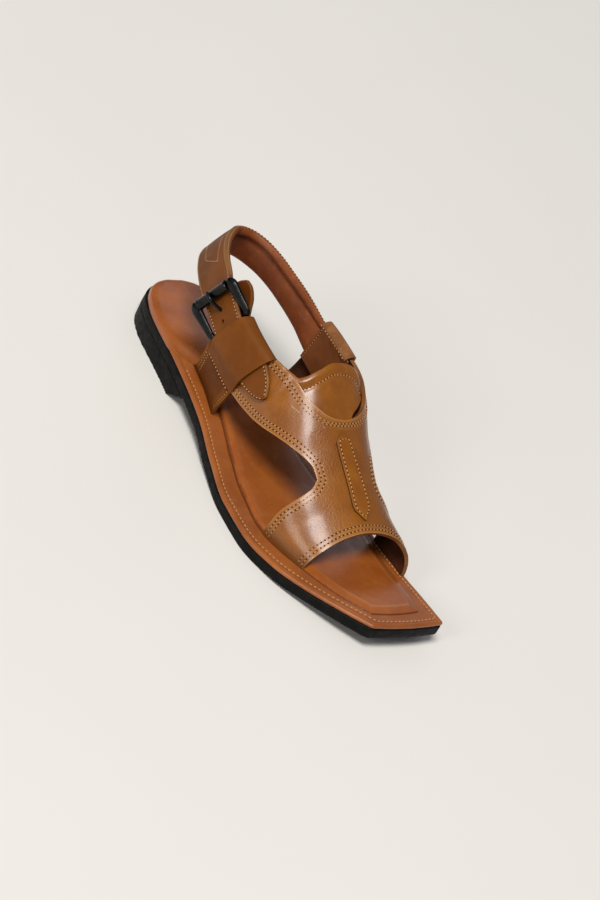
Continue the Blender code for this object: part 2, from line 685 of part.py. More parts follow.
def keeper_ring(side, row):
    """The section of a keeper: sewn on below, over the strap, over the arm's top edge and down inside it."""
    low, high = Vector(row.low), Vector(row.high)
    top = side_point(side, row.high)
    rise = top - side_point(side, low.lerp(high, 0.9))
    rise = rise.normalized() * (high - low).length
    reach, back, wall = row.outside, row.inside, KEEPER_WALL
    full, half = reach + wall, reach / 2
    outer_offs = [GAP, half, *(full + swell for swell in KEEPER_SWELL), (reach + wall) / 2, back / 2,
                  back - wall, back - wall]
    inner_offs = [back, back, back / 2, half, *(reach + swell for swell in reversed(KEEPER_SWELL)), half, GAP]
    outer = list(zip(KEEPER_OUTER_SHARES, outer_offs))
    inner = list(zip(KEEPER_INNER_SHARES, inner_offs))
    ring = []
    for share, off in outer + inner:
        beyond = rise * max(share - 1, 0.0)
        ring.append(side_point(side, low.lerp(high, min(share, 1.0)), off) + beyond)
    return ring


def make_keeper(name, side, collection):
    rings = [keeper_ring(side, row) for row in KEEPERS[side]]
    fine = []
    for step in range(3 * (len(rings) - 1) + 1):
        fine.append([catmull(line, step / 3) for line in zip(*rings)])
    points, faces = loft(fine)
    solid(name, points, faces, "upper_leather", collection)


# ---------------------------------------------------------------- buckle


def buckle_axes():
    """Middle of the roller bar, then unit vectors towards the pivot bar and up along it; and the span."""
    roller = side_point(LATERAL, *ROLLER_BAR)
    pivot = side_point(LATERAL, *PIVOT_BAR)
    span = (pivot - roller).length
    along = (pivot - roller).normalized()
    low, high, _ = strap_rows()[len(STRAP_MEDIAL) + len(STRAP_LOOP) + 2]
    up = high - low
    up = (up - along * up.dot(along)).normalized()
    return roller, along, up, span


def buckle_matrix():
    """Places the buckle's own frame: X towards the pivot, Y up the bars, Z outwards."""
    origin, along, up, _ = buckle_axes()
    out = along.cross(up)
    turn = Matrix((along, up, out)).transposed().to_4x4()
    return Matrix.Translation(origin * MM) @ turn


def wire(name, points, radius, cyclic, finish, collection, shares=None):
    """A round bar along points in millimetres, as a mesh with closed ends."""
    data = bpy.data.curves.new(name, "CURVE")
    data.dimensions = "3D"
    data.bevel_depth = radius * MM
    data.bevel_resolution = WIRE_RESOLUTION
    data.use_fill_caps = True
    line = data.splines.new("POLY")
    line.points.add(len(points) - 1)
    for target, point in zip(line.points, points):
        target.co = (*(Vector(point) * MM), 1.0)
    for target, share in zip(line.points, shares or []):
        target.radius = share
    line.use_cyclic_u = cyclic
    made = bpy.data.objects.new(name, data)
    made.matrix_world = buckle_matrix()
    return link(made, finish, collection)


def arc(centre, radius, start, end, steps):
    """Points on an arc in the XY plane, angles in degrees."""
    points = []
    for step in range(steps + 1):
        angle = math.radians(start + (end - start) * step / steps)
        points.append((centre[0] + radius * math.cos(angle), centre[1] + radius * math.sin(angle), 0.0))
    return points


def make_frame(collection):
    span = buckle_axes()[-1]
    room = FRAME_HALF_WIDTH - FRAME_CORNER
    near, far = FRAME_CORNER, span - FRAME_CORNER
    points, shares = [], []
    for centre, start in (((near, -room), 180), ((far, -room), 270), ((far, room), 0), ((near, room), 90)):
        points += arc(centre, FRAME_CORNER, start, start + 90, FRAME_CORNER_STEPS)
    for x, y, _ in points:
        bar = FAR_BAR_SHARE if x < near else PIVOT_BAR_SHARE
        on_side = min(max((abs(y) - room) / FRAME_CORNER * FRAME_SHOULDER, 0.0), 1.0)
        shares.append(bar + (1 - bar) * on_side)
    wire("buckle_frame", points, BAR_RADIUS, True, "gunmetal", collection, shares)


def make_roller(collection):
    """A sleeve turned round the far bar."""
    inner, outer, half = BAR_RADIUS * FAR_BAR_SHARE + GAP, ROLLER_RADIUS, ROLLER_HALF_LENGTH
    profile = [(outer, half), (outer, -half), (inner, -half), (inner, half)]
    mesh = bpy.data.meshes.new("buckle_roller")
    corners = [(radius * MM, 0.0, height * MM) for radius, height in profile]
    mesh.from_pydata(corners, [(0, 1), (1, 2), (2, 3), (3, 0)], [])
    roller = link(bpy.data.objects.new("buckle_roller", mesh), "gunmetal", collection)
    turned = roller.modifiers.new("turned", "SCREW")
    turned.steps = turned.render_steps = ROLLER_SIDES
    turned.use_merge_vertices = True
    turned.merge_threshold = WELD_DISTANCE
    turned.use_smooth_shade = True
    roller.matrix_world = buckle_matrix() @ Matrix.Rotation(math.radians(-90), 4, "X")


def prong_path():
    """The prong from its hook under the pivot bar, beneath the strap, up through it and onto the roller."""
    span = buckle_axes()[-1]
    hook = BAR_RADIUS * PIVOT_BAR_SHARE + GAP + PRONG_RADIUS
    path = []
    for step in range(HOOK_POINTS):
        angle = math.radians(HOOK_START - HOOK_STEP * step)
        path.append((span + hook * math.cos(angle), 0.0, hook * math.sin(angle)))
    over = ROLLER_RADIUS + GAP + PRONG_RADIUS
    rise, *on_roller = PRONG_RISE
    path += [(PRONG_BEND_X, 0.0, PRONG_BEND_Z), (rise[0], 0.0, rise[1])]
    return path + [(x, 0.0, over + z) for x, z in on_roller]


def make_prong(collection):
    wire("buckle_prong", prong_path(), PRONG_RADIUS, False, "gunmetal", collection)


def cut(name, target, shape, placed, cutters):
    """Takes a bmesh shape, placed in the buckle's own frame, out of the target."""
    mesh = bpy.data.meshes.new(name)
    shape.to_mesh(mesh)
    shape.free()
    cutter = bpy.data.objects.new(name, mesh)
    cutter.matrix_world = buckle_matrix() @ placed
    cutter.hide_render = True
    cutter.display_type = "WIRE"
    cutters.objects.link(cutter)
    taken = target.modifiers.new(name, "BOOLEAN")
    taken.operation = "DIFFERENCE"
    taken.solver = "EXACT"
    taken.object = cutter


def cut_prong_hole(strap, cutters):
    """A hole through the strap along the prong's rise."""
    start, end = Vector(PRONG_HOLE_FROM), Vector(PRONG_HOLE_TO)
    radius, depth = PRONG_HOLE_RADIUS * MM, (end - start).length * MM
    shape = bmesh.new()
    bmesh.ops.create_cone(shape, cap_ends=True, segments=PRONG_HOLE_SIDES, radius1=radius, radius2=radius,
                          depth=depth)
    lean = (end - start).to_track_quat("Z", "Y").to_matrix().to_4x4()
    cut("prong_hole", strap, shape, Matrix.Translation(start.lerp(end, 0.5) * MM) @ lean, cutters)


def cut_prong_slot(upper, cutters):
    """A slot in the arm's leather under the pivot bar, where the prong hooks round the bar."""
    shape = bmesh.new()
    bmesh.ops.create_cube(shape, size=MM)
    length, width, depth = PRONG_SLOT
    placed = Matrix.Translation(Vector((buckle_axes()[-1], 0, -depth / 2)) * MM)
    cut("prong_slot", upper, shape, placed @ Matrix.Diagonal((length, width, depth, 1)), cutters)


# ---------------------------------------------------------------- the whole shoe


def clear_scene():
    for obj in list(bpy.data.objects):
        bpy.data.objects.remove(obj)


def new_collection(name):
    made = bpy.data.collections.new(name)
    bpy.context.scene.collection.children.link(made)
    return made


def centre_on_ground(collection, cutters):
    """Hangs everything on an empty that puts the bottom centre of the whole box at the world's origin."""
    bpy.context.view_layer.update()
    graph = bpy.context.evaluated_depsgraph_get()
    corners = []
    for obj in collection.objects:
        shown = obj.evaluated_get(graph)
        mesh = shown.to_mesh()
        corners += [shown.matrix_world @ vertex.co for vertex in mesh.vertices]
        shown.to_mesh_clear()
    low = [min(corner[k] for corner in corners) for k in range(3)]
    high = [max(corner[k] for corner in corners) for k in range(3)]
    shift = Vector((-(low[0] + high[0]) / 2, -(low[1] + high[1]) / 2, -low[2]))
    root = bpy.data.objects.new("chappal_root", None)
    collection.objects.link(root)
    for obj in list(collection.objects) + list(cutters.objects):
        if obj != root:
            obj.parent = root
    root.location = shift


def main():
    clear_scene()
    collection = new_collection("peshawari_chappal")
    cutters = new_collection("cutters")
    make_outsole(collection)
    make_heel(collection)
    make_welt(collection)
    make_footbed(collection)
    upper = make_upper(collection)
    make_tongue(collection)
    strap = make_heel_strap(collection)
    make_keeper("keeper", LATERAL, collection)
    make_keeper("medial_keeper", MEDIAL, collection)
    make_frame(collection)
    make_roller(collection)
    make_prong(collection)
    cut_prong_hole(strap, cutters)
    cut_prong_slot(upper, cutters)
    centre_on_ground(collection, cutters)


main()
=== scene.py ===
"""Looks of a peshawari chappal for the right foot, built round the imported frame.

Tables are in millimetres, in the shoe's drafting frame: y runs from the back of the heel (0) to the toe, x is
positive towards the little toe (lateral), and z is the height above the ground. Meshes are in metres.
A place on the upper is (y, turn): turn is 1 at the lateral foot, 0 on the ridge and -1 at the medial foot.
"""

import math
from collections import namedtuple
from contextlib import contextmanager
from functools import reduce

import bmesh
import bpy
import numpy as np
from mathutils import Matrix, Vector
from mathutils.kdtree import KDTree


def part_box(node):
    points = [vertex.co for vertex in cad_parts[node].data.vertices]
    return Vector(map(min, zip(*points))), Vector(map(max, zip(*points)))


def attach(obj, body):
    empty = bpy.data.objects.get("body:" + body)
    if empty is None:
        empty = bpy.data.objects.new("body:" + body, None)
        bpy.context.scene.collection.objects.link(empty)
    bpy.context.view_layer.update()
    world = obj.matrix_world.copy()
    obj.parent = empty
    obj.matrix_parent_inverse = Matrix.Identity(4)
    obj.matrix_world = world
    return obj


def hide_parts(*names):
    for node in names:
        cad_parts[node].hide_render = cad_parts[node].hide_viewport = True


MM = 0.001
GAP = 0.3
WELD = 0.00001
SEED = 7
LATERAL, MEDIAL = 1, -1


def table(columns, rows):
    Row = namedtuple("Row", columns)
    return [Row(*row) for row in rows]


# ---------------------------------------------------------------- sizes and tables

# Sole stack. Edges are tables of (how far in, share of the height) from the bottom up.
SOLE_BACK = 2.0
SOLE_LENGTH = 290.0
SOLE_STATION = 11.0
OUTSOLE_THICKNESS = 6.2
OUTSOLE_ROUGH = 0.07
TOE_RUBBER, TOE_RUBBER_FROM, TOE_RUBBER_RUN = 0.9, 258, 28
WELT_THICKNESS = 2.9
TOE_CORNER = 1.5
TOE_BOW = 1.4
CORNER_STATIONS = (1, 0.8, 0.6, 0.42, 0.27, 0.15, 0.07, 0.02, 0)
HEEL_CENTRE_Y = 34.0
HEEL_STATIONS = 34
HEEL_LENGTH = 94.0
HEEL_BREAST_RUN = 13.0
HEEL_TAPER = 0.9
HEEL_ROUGH = 0.08
HEEL_GAP = 0.02
HEEL_RIBS, RIB_PITCH, RIB_FLOOR = 0.4, 2.4, -0.2
TOE_CENTRE_BACK = 60
TREAD_FROM, TREAD_TO, TREAD_MARGIN = 150, 276, 3.5
TREAD_PITCH, TREAD_DEPTH, TREAD_WAVE, TREAD_WAVE_WIDTH = 8, 1.0, 2.2, 15
OUTSOLE_EDGE = [(1.2, 0), (0.3, 0), (0.05, 0.06), (0, 0.3), (0.05, 0.5), (0, 0.75), (0.08, 0.94), (0.4, 1)]
HEEL_EDGE = [
    (HEEL_TAPER + 1.4, 0), (HEEL_TAPER + 0.4, 0), (HEEL_TAPER, 0.05), (HEEL_TAPER * 0.8, 0.2),
    (HEEL_TAPER * 0.5, 0.5), (HEEL_TAPER * 0.2, 0.8), (0, 0.97), (0.15, 1),
]
WELT_GROOVE = 4.0
WELT_EDGE = [
    (1.2, 0), (0.35, 0.06), (0.05, 0.25), (0, 0.45), (0.15, 0.68), (0.6, 0.86), (1.2, 0.96), (2, 1),
    (3.1, 0.985), (3.6, 0.93), (WELT_GROOVE, 0.9), (4.4, 0.93), (4.9, 0.985), (5.8, 1),
]
WELT_UNDER_SEAT = [(0, 2.4), (20, 1.7), (40, 0.9), (56, 0.7), (65, 0), (81, 0)]
WELT_SEAT_END = 80
WELT_ROW_FROM = {LATERAL: 81, MEDIAL: 96}

# Footbed. Insets of the pad's crease and of its mesh where it leaves the seat, and its creases.
FOOTBED_FRONT_INSET = 10.0
FOOTBED_EDGE_ROUND = 5.0
SEAT_END, SEAT_JOIN = 60.0, 92.0
SEAT_CROWN = 21.0
SKIRT_END = 68
PAD_LIFT = 0.12
PAD_RIM, TOE_RIM = 0.3, 0.14
SEAT_CROWNS = 0.42, 0.32
FLAT_TOE_FROM, FLAT_TOE_RUN = 196, 30
TOE_BEVEL, TOE_BEVEL_FROM = 6.2, 205
PAD_FOOT = {
    LATERAL: [(0, 1.7), (20, 1), (40, 0.2), (56, 0), (64, 1.6), (72, 6.6), (80, 12), (88, 14.2), (93, 14.4)],
    MEDIAL: [(0, 1.7), (20, 1), (40, 0.3), (56, 0), (66, 1.6), (76, 6.4), (86, 11.6), (93, 13.3), (96, 13.4)],
}
PAD_MESH = {
    LATERAL: [(0, 1.65), (20, 0.95), (40, 0.15), (60, -0.05), (66, 1), (76, 6.2), (84, 11.6), (90, 14.4),
              (93, 14.4)],
    MEDIAL: [(0, 1.65), (20, 0.95), (40, 0.25), (60, -0.05), (68, 1), (78, 5.6), (88, 11.4), (94, 13.4),
             (96, 13.4)],
}
PAD_EDGE = [(0.5, 0), (0.08, 0.06), (0, 0.25), (0, 0.6), (0.12, 0.8), (0.4, 0.94)]
PAD_EDGE += [(0.8 + 0.7 * step, 1) for step in range(9)]
PAD_CREASE_REACH = 30
PAD_CREASES = table("y lean deep wide", [
    (214, 0.16, 0.22, 2.2),
    (206, 0.1, 0.16, 1.8),
    (221, 0.22, 0.14, 1.8),
    (108, -0.1, 0.2, 2.6),
])

# How much stitches lean and differ in size, and the size of a dark dot that stands for a needle hole's shade.
STITCH_LEAN, STITCH_UNEVEN = 0.05, 0.06
HOLE_SIZE = (1.15, 1.05, 0.25)

# Upper.
UPPER_WALL = 2.4
FOOT_LIFT = 0.2
FOOT_SINK = 0.4
FOOT_MARGIN = 0.6
TUCK_HEIGHT = 30.0
TURN_SCALE = 60.0
COLUMN_FOOT_Y = 203.0
UNSEWN_Y, UNSEWN_Z = 127.0, 50.0
ROWS = (2.3, 4.9)
THROAT_EVENING = (9, 25)
FRONT_PART, TAB_FRONT_PART, TAB_REAR_PART = slice(4, -4), slice(6, -5), slice(22, None)
TAB_FRONT_ROW, TAB_REAR_ROWS = -2.0, (2.0, 4.4)
LEG_STEPS, BAND_STEPS, COLUMN_STEPS = (36, 54), (36, 48), (30, 48)
ARM_STEPS, REAR_STEPS, TAB_STEPS = (60, 48), (48, 48), (48, 30)

# The lateral arm's rear patch and the tab take a darker, less glossy copy of the vamp leather, which starts
# at this slot; its darker tone is painted shade.
REAR_PATCH, TAB_PATCH, SHADED_COPY_SLOT = 4, 5, 3

# Centre strip and tongue. The tongue's relief is in (height, how far from its edge, width).
STRIP_WALL = 1.4
STRIP_GRID = 90, 25
STRIP_STITCH_INSET = 1.7
STRIP_CENTRE = [(183.2, 0.6), (186, 0.1), (220, -4.5), (228, -4.4)]
STRIP_HALF = [
    (183.2, 1.2), (184.6, 4.0), (186.2, 5.4), (189, 5.6), (219, 6.6), (221, 6.2), (224.5, 3.6), (228, 0.4),
]
TONGUE_WALL = 1.6
TONGUE_ROOM = 0.8
TONGUE_ROW = 7.0
TONGUE_GRID = 64, 110
TONGUE_TURNED, TONGUE_DIP, TONGUE_DOME = (0.75, 2.6, 2.0), (-0.45, TONGUE_ROW, 1.3), (0.5, 16, 7.0)
TONGUE_DOME_TURN = 0.3
TONGUE_CURL, TONGUE_CURL_FROM = (0.6, 0, 2.4), 0.3
TONGUE_FRONT_Y = 196.0
TONGUE_FRONT_TURN = 0.3
TONGUE_MEDIAL = [(0, 0.1), (0.5, 0.11), (0.63, 0.2), (0.8, 0.35), (0.94, 0.46), (1, 0.5)]
TONGUE_TOP = [
    (-0.5, 152.0), (-0.3, 149.6), (-0.12, 148.6), (-0.02, 148.2), (0.15, 150.6), (0.26, 151.0), (0.36, 149.5),
    (0.42, 145.2), (0.47, 140.5), (0.52, 136.4), (0.56, 135.4),
]

# Heel strap. Places are fractional rows of its table, shares run from its low edge (0) to its high one.
STRAP_CROWN = 0.5
STRAP_SKIN = 1.6
FOLD_SHARE = 0.84
FOLD_STEPS, FOLD_RISE, FOLD_TUCK = (0.15, 0.4, 0.65, 0.88, 1.0), 0.6, 0.5
OUTER_POINTS, FOLD_POINTS, RIM_POINTS = 13, 12, 3
SKIN_RINGS, PAD_RINGS = 420, 360
PAD_START, PAD_END = 1.75, 12.2
PAD_FADE_IN, PAD_FADE_OUT = 0.45, 0.8
STRAP_STITCH_INSET = 1.3
STRAP_STITCH = dict(pitch=2.3, long=1.5, wide=0.6, sink=0.03)
PATCH_ENDS = [
    [(9.0, 0.80), (9.9, 0.79), (10.96, 0.72), (10.2, 0.33), (9.0, 0.3)],
    [(7.0, 0.80), (6.1, 0.79), (5.04, 0.72), (5.8, 0.33), (7.0, 0.3)],
]
STRAP_HOLE = (14.54, 0.43)
STRAP_HOLE_RADIUS = 1.2

# Keepers, the seams that hold them, as places (y, z), and the panel inside the medial arm.
KEEPER_WALL = {LATERAL: 1.5, MEDIAL: 1.1}
KEEPER_TURN_DOWN = {LATERAL: 0.36, MEDIAL: 0.12}
KEEPER_FLANGE = {LATERAL: 0.3, MEDIAL: 0.12}
KEEPER_RINGS = 22
KEEPER_SEWN = 0.9
KEEPER_CREASE = 0.55
KEEPER_SEAM = [(93.4, 45.6), (102.6, 44.4), (109.7, 43.2), (117.5, 42.2), (120.6, 41.6)]
KEEPER_SEAM_LIFT = 1.0
WRAP_SEAM = [(101.5, 78.6), (108, 78.6), (119, 78.4), (131, 78.0)]
PANEL_REAR = [(99.6, 50.8), (100.0, 55.0), (101.0, 63.0), (102.2, 71.0), (103.6, 78.6)]
PANEL_FRONT = [(131.0, 46.5), (132.0, 54.0), (133.0, 64.0), (133.6, 71.0), (134.0, 78.6)]
PANEL_GRID = 40, 30
PANEL_WALL, PANEL_SHALLOW, PANEL_DEEP = 0.9, 3.0, 4.9
PANEL_STITCH_INSET, PANEL_SEAM_LIFT = 1.7, 0.9

# Buckle, in its own frame: X from the roller bar to the pivot bar, Y along the bars and Z outwards.
BAR_RADIUS = 2.0
FAR_BAR_SHARE = 0.75
PIVOT_BAR_SHARE = 0.5
ARM_FLATNESS, ARM_SQUARE = 0.62, 2.25
ARM_SHARE, ARM_NARROWING = 2.0, 0.85
FRAME_HALF_WIDTH = 16.0
FRAME_CORNER = 2.6
FRAME_STEP, FRAME_CORNER_STEPS = 0.8, 12
ROLLER_RADIUS = 3.45
ROLLER_HALF_LENGTH = 12.9
ROLLER_SIDES = 40
PRONG_RADIUS = 0.8
PRONG_HOOK_ANGLES = (-10, -44, -78, -112, -146, -180)
PRONG_OVER = ROLLER_RADIUS + 1.25
PRONG_REACH = [(14.0, 0.0, -2.5), (8.8, 0.0, 1.4), (4.6, 0.0, PRONG_OVER - 0.7), (1.2, 0.0, PRONG_OVER),
               (-2.6, 0.0, PRONG_OVER - 0.3)]
PRONG_TAPER = [(0, 0.8), (0.5, 0.85), (0.7, 1.15), (0.9, 1.35), (1, 0.9)]
PRONG_RINGS = 90
ROLLER_BAR = ((78.0, 76.2), 8.4)
PIVOT_BAR = ((96.4, 69.6), 1.6)

OUTLINE = table("y lateral medial lateral_inset medial_inset", [
    (2, 6.0, 6.0, 1.2, 1.2),
    (3, 10.4, 10.2, 1.2, 1.2),
    (5, 15.6, 15.2, 1.2, 1.2),
    (9.5, 21.6, 21.0, 1.2, 1.2),
    (18, 27.2, 26.6, 1.2, 1.2),
    (34, 31.9, 31.0, 1.2, 1.2),
    (62, 34.8, 32.0, 1.8, 1.8),
    (76, 36.2, 31.8, 14.2, 13.0),
    (90, 37.6, 31.3, 14.4, 13.4),
    (120, 41.6, 29.6, 14.7, 13.6),
    (150, 48.2, 30.6, 14.6, 14.2),
    (180, 53.8, 36.4, 14.6, 14.0),
    (205, 55.0, 41.6, 12.4, 10.8),
    (230, 49.6, 42.4, 11.6, 8.9),
    (255, 37.8, 41.8, 8.4, 9.0),
    (275, 25.6, 40.6, 5.0, 10.1),
    (290, 14.6, 39.6, 3.9, 12.6),
])
PROFILE = table("y outsole_top footbed", [
    (0, 18.4, 3.2),
    (60, 18.2, 3.6),
    (90, 16.6, 4.0),
    (116, 14.1, 4.2),
    (150, 9.0, 4.2),
    (180, 6.2, 3.6),
    (214, 6.2, 2.8),
    (235, 7.5, 2.2),
    (250, 9.4, 1.9),
    (270, 12.8, 1.7),
    (290, 16.0, 1.6),
])
SECTIONS = table("y ridge_x ridge_z lateral medial lateral_full medial_full tuck", [
    (60, -2, 134, 36.5, 31.0, 3.0, 3.0, 11.0),
    (80, -2, 132, 37.5, 31.5, 3.0, 3.0, 10.0),
    (100, -2, 125, 38.5, 32.0, 2.8, 3.0, 8.0),
    (120, -2, 112, 39.0, 33.0, 2.6, 3.2, 4.0),
    (140, -2, 97, 39.0, 34.5, 2.4, 3.4, 1.0),
    (160, -2, 82, 41.0, 36.0, 2.2, 3.2, 0.0),
    (176, -2, 70.5, 43.0, 36.5, 2.1, 2.6, 0.0),
    (190, -3, 60.5, 45.0, 37.5, 2.0, 2.3, 0.0),
    (205, -3, 51.5, 45.5, 38.5, 2.0, 2.3, 0.0),
    (220, -4, 43.5, 42.5, 37.5, 1.9, 2.4, 0.0),
    (237, -5, 36.8, 37.0, 36.5, 1.75, 2.8, 0.0),
    (250, -7, 32.0, 34.0, 33.0, 1.7, 2.8, 0.0),
])
FRONT_EDGE = [(-1, 246.5), (-0.6, 241.5), (-0.3, 237), (0, 235), (0.3, 235.5), (0.6, 237), (1, 238)]

# Edges of each side of the upper, as places (y, z).
Side = namedtuple(
    "Side", "cut_front cut_top_front cut_top_rear throat arm_low arm_high arm_end tab_rear tab_front")
SIDES = {
    LATERAL: Side(
        cut_front=[(206.7, 9.6), (206.7, 17), (205.8, 26), (206.2, 36), (205.2, 43), (201.4, 47.6)],
        cut_top_front=[(201.4, 47.6), (195, 50.4), (188.3, 51.6), (181.5, 52), (171, 50.6)],
        cut_top_rear=[(171, 50.6), (157, 46.7), (146, 44), (135, 42.9), (123.5, 42.5)],
        throat=[(176, 70.4), (175.2, 70.32), (173, 70.45), (167.6, 71.5), (160.3, 73.2), (150.2, 76.2),
                (141.5, 77.4), (134.5, 77.8), (128, 78)],
        arm_low=[(123.5, 42.5), (112, 43.4), (100, 44.2), (88.5, 44.5)],
        arm_high=[(128, 78.0), (122, 77.4), (116, 77.6), (108, 78.6), (103, 80.4), (99.4, 85.2),
                  (95.6, 90.8), (90, 94.6), (84, 95.2)],
        arm_end=[(88.5, 44.5), (88, 56), (81.5, 66), (78, 78), (79.5, 89), (84, 95.2)],
        tab_rear=[(78, 20.6), (83.5, 27), (87, 36), (88.5, 44.5)],
        tab_front=[(116.5, 17.6), (120, 28), (122.6, 36.5), (123.5, 42.5)],
    ),
    MEDIAL: Side(
        cut_front=[(214, 9.7), (213.5, 17), (212, 26), (211, 36), (208.5, 43), (203.5, 47.2)],
        cut_top_front=[(203.5, 47.2), (196, 50.2), (188.3, 51.4), (181.5, 51.6), (171, 50.4)],
        cut_top_rear=[(171, 50.4), (157, 46.7), (146, 44.4), (135, 43.2), (121, 42.8)],
        throat=[(176, 70.4), (175.2, 70.45), (173, 70.7), (168.5, 71.6), (160.5, 73.6), (151, 76.0),
                (142, 77.2), (133, 77.8), (126, 78)],
        arm_low=[(121, 42.8), (113, 43.4), (105, 44.4), (97, 45)],
        arm_high=[(126, 78.0), (120, 78.0), (114, 78.2), (110, 78.4), (107, 78.2), (104, 77.0)],
        arm_end=[(97, 45), (98.5, 52), (100, 59), (101.4, 66), (102.6, 72), (104, 77.0)],
        tab_rear=[(91, 20), (94, 28), (96, 36), (97, 45)],
        tab_front=[(118.5, 17.2), (120, 26), (121, 34), (121, 42.8)],
    ),
}

# Creases and lasting marks of the vamp: where they are, how they lean, and how deep, wide and long they are.
TROUGHS = table("y turn lean deep wide reach", [
    (226, 0.42, -10, -0.1, 3.2, 0.30),
    (219, 0.50, -14, -0.08, 2.8, 0.22),
    (231, -0.35, 8, -0.2, 2.4, 0.25),
    (196, 0.62, 16, -0.25, 2.6, 0.16),
    (150, 0.5, 20, -0.3, 2.4, 0.14),
    (143, 0.52, 22, -0.24, 2.0, 0.13),
    (137, 0.55, 20, -0.2, 1.8, 0.12),
    (168, -0.5, -12, -0.2, 2.4, 0.16),
    (212, -0.6, 10, -0.25, 2.4, 0.2),
])

# Two fine scratches on the vamp, as (y, turn) from end to end.
SCRATCHES = [((160.1, 0.449), (165.7, 0.392)), ((169.4, 0.306), (178.2, 0.19))]

# The strap's outer face. Beside the arms its places are (y, z) and stand off the form; round the heel they
# are points of the drafting frame.
JOINED = "low high stand_off thickness"
STRAP_MEDIAL = table(JOINED, [
    ((123, 51), (125, 76.4), -2.6, 2.1),
    ((111, 51.8), (112, 77.4), -2.6, 2.1),
    ((98, 53), (99, 79.0), -2.6, 2.4),
])
STRAP_LOOP = table("low high thickness", [
    ((-33.4, 78, 54.6), (-28.2, 80, 81.8), 3.8),
    ((-33.0, 62, 56.0), (-26.6, 64, 83.2), 4.2),
    ((-31.0, 47, 57.5), (-23.8, 48.5, 84.8), 4.2),
    ((-25.5, 33, 59.0), (-19.0, 36.0, 86.0), 4.2),
    ((-14.5, 20.5, 60.4), (-11.0, 27.8, 87.0), 4.2),
    ((1.0, 16.5, 61.4), (-0.5, 26.0, 88.0), 4.2),
    ((13.0, 23.5, 62.0), (10.5, 33.5, 88.4), 4.2),
    ((22.5, 36.0, 62.4), (19.5, 43.8, 88.6), 4.0),
    ((29.5, 49.0, 63.0), (26.5, 55.5, 88.8), 3.6),
    ((34.4, 60.5, 63.4), (31.6, 67.5, 89.2), 3.0),
])
STRAP_LATERAL = table(JOINED, [
    ((71.2, 64.0), (77.8, 88.6), 4.0, 2.5),
    ((83.6, 62.8), (89.8, 84.6), 5.2, 2.5),
    ((97.1, 59.0), (103, 79.8), 5.8, 2.5),
    ((111, 55), (116.4, 76.6), 4.2, 2.5),
    ((125.4, 53.4), (129.6, 73.6), 3.2, 2.5),
    ((136, 53.4), (138.6, 68.6), 2.9, 2.4),
    ((142.4, 54.8), (143.6, 64), 2.9, 2.3),
    ((146.6, 57.4), (146.8, 60), 2.9, 2.2),
])
BUCKLE_ROW = len(STRAP_MEDIAL) + len(STRAP_LOOP) + 2
LOOP = "low high outside inside"
KEEPERS = {
    LATERAL: table(LOOP, [
        ((94.2, 53.4), (103.4, 83.4), 6.4, -2.9),
        ((104.6, 52.4), (113.6, 81.2), 5.8, -2.9),
        ((115.6, 51), (124.2, 79.2), 4.8, -2.9),
        ((126.6, 49.8), (133.6, 77.4), 4.0, -2.9),
    ]),
    MEDIAL: table(LOOP, [
        ((98, 51.5), (102.5, 80.6), 0.6, -5.3),
        ((107, 50.5), (112.5, 81.0), 0.6, -5.3),
        ((116, 49.5), (122.5, 80.8), 0.6, -5.3),
        ((125, 48.5), (133, 80.4), 0.6, -5.3),
    ]),
}

# ---------------------------------------------------------------- curves and the form of the foot

# Steps over which the form's own directions are measured.
TURN_STEP, Y_STEP = 0.02, 0.5
FINE_TURN, FINE_Y = 0.004, 0.2


def smooth(pairs):
    """A function through (position, value) pairs that is smooth and never overshoots them."""
    places = np.array([pair[0] for pair in pairs], float)
    values = np.array([pair[1] for pair in pairs], float)
    spans = np.diff(places)
    slopes = np.diff(values) / spans
    product = slopes[:-1] * slopes[1:]
    total = np.where(product > 0, slopes[:-1] + slopes[1:], 1.0)
    inner = np.where(product > 0, 2 * product / total, 0.0)
    tangents = np.concatenate([slopes[:1], inner, slopes[-1:]])

    def value(place):
        place = np.asarray(place, float)
        i = np.clip(np.searchsorted(places, place, side="right") - 1, 0, len(spans) - 1)
        t = np.clip((place - places[i]) / spans[i], 0.0, 1.0)
        rise = values[i + 1] - values[i]
        bend = spans[i] * ((1 - t) * tangents[i] - t * tangents[i + 1]) + (2 * t - 1) * rise
        return values[i] + t * rise + t * (1 - t) * bend

    return value


def column(rows, name):
    return smooth([(row.y, getattr(row, name)) for row in rows])


OUTSOLE_TOP = column(PROFILE, "outsole_top")
FOOTBED_HEIGHT = column(PROFILE, "footbed")
HALF_WIDTH = {LATERAL: column(OUTLINE, "lateral"), MEDIAL: column(OUTLINE, "medial")}
FOOTBED_INSET = {LATERAL: column(OUTLINE, "lateral_inset"), MEDIAL: column(OUTLINE, "medial_inset")}
RIDGE_X = column(SECTIONS, "ridge_x")
RIDGE_Z = column(SECTIONS, "ridge_z")
REACH = {LATERAL: column(SECTIONS, "lateral"), MEDIAL: column(SECTIONS, "medial")}
FULLNESS = {LATERAL: column(SECTIONS, "lateral_full"), MEDIAL: column(SECTIONS, "medial_full")}
TUCK = column(SECTIONS, "tuck")


def by_side(curves, y, lateral):
    return np.where(lateral, curves[LATERAL](y), curves[MEDIAL](y))


def welt_top(y):
    return OUTSOLE_TOP(y) + GAP + WELT_THICKNESS


def form_foot(y):
    return welt_top(y) + GAP + FOOT_LIFT


def unit(vectors):
    vectors = np.asarray(vectors, float)
    return vectors / np.maximum(np.linalg.norm(vectors, axis=-1, keepdims=True), 1e-9)


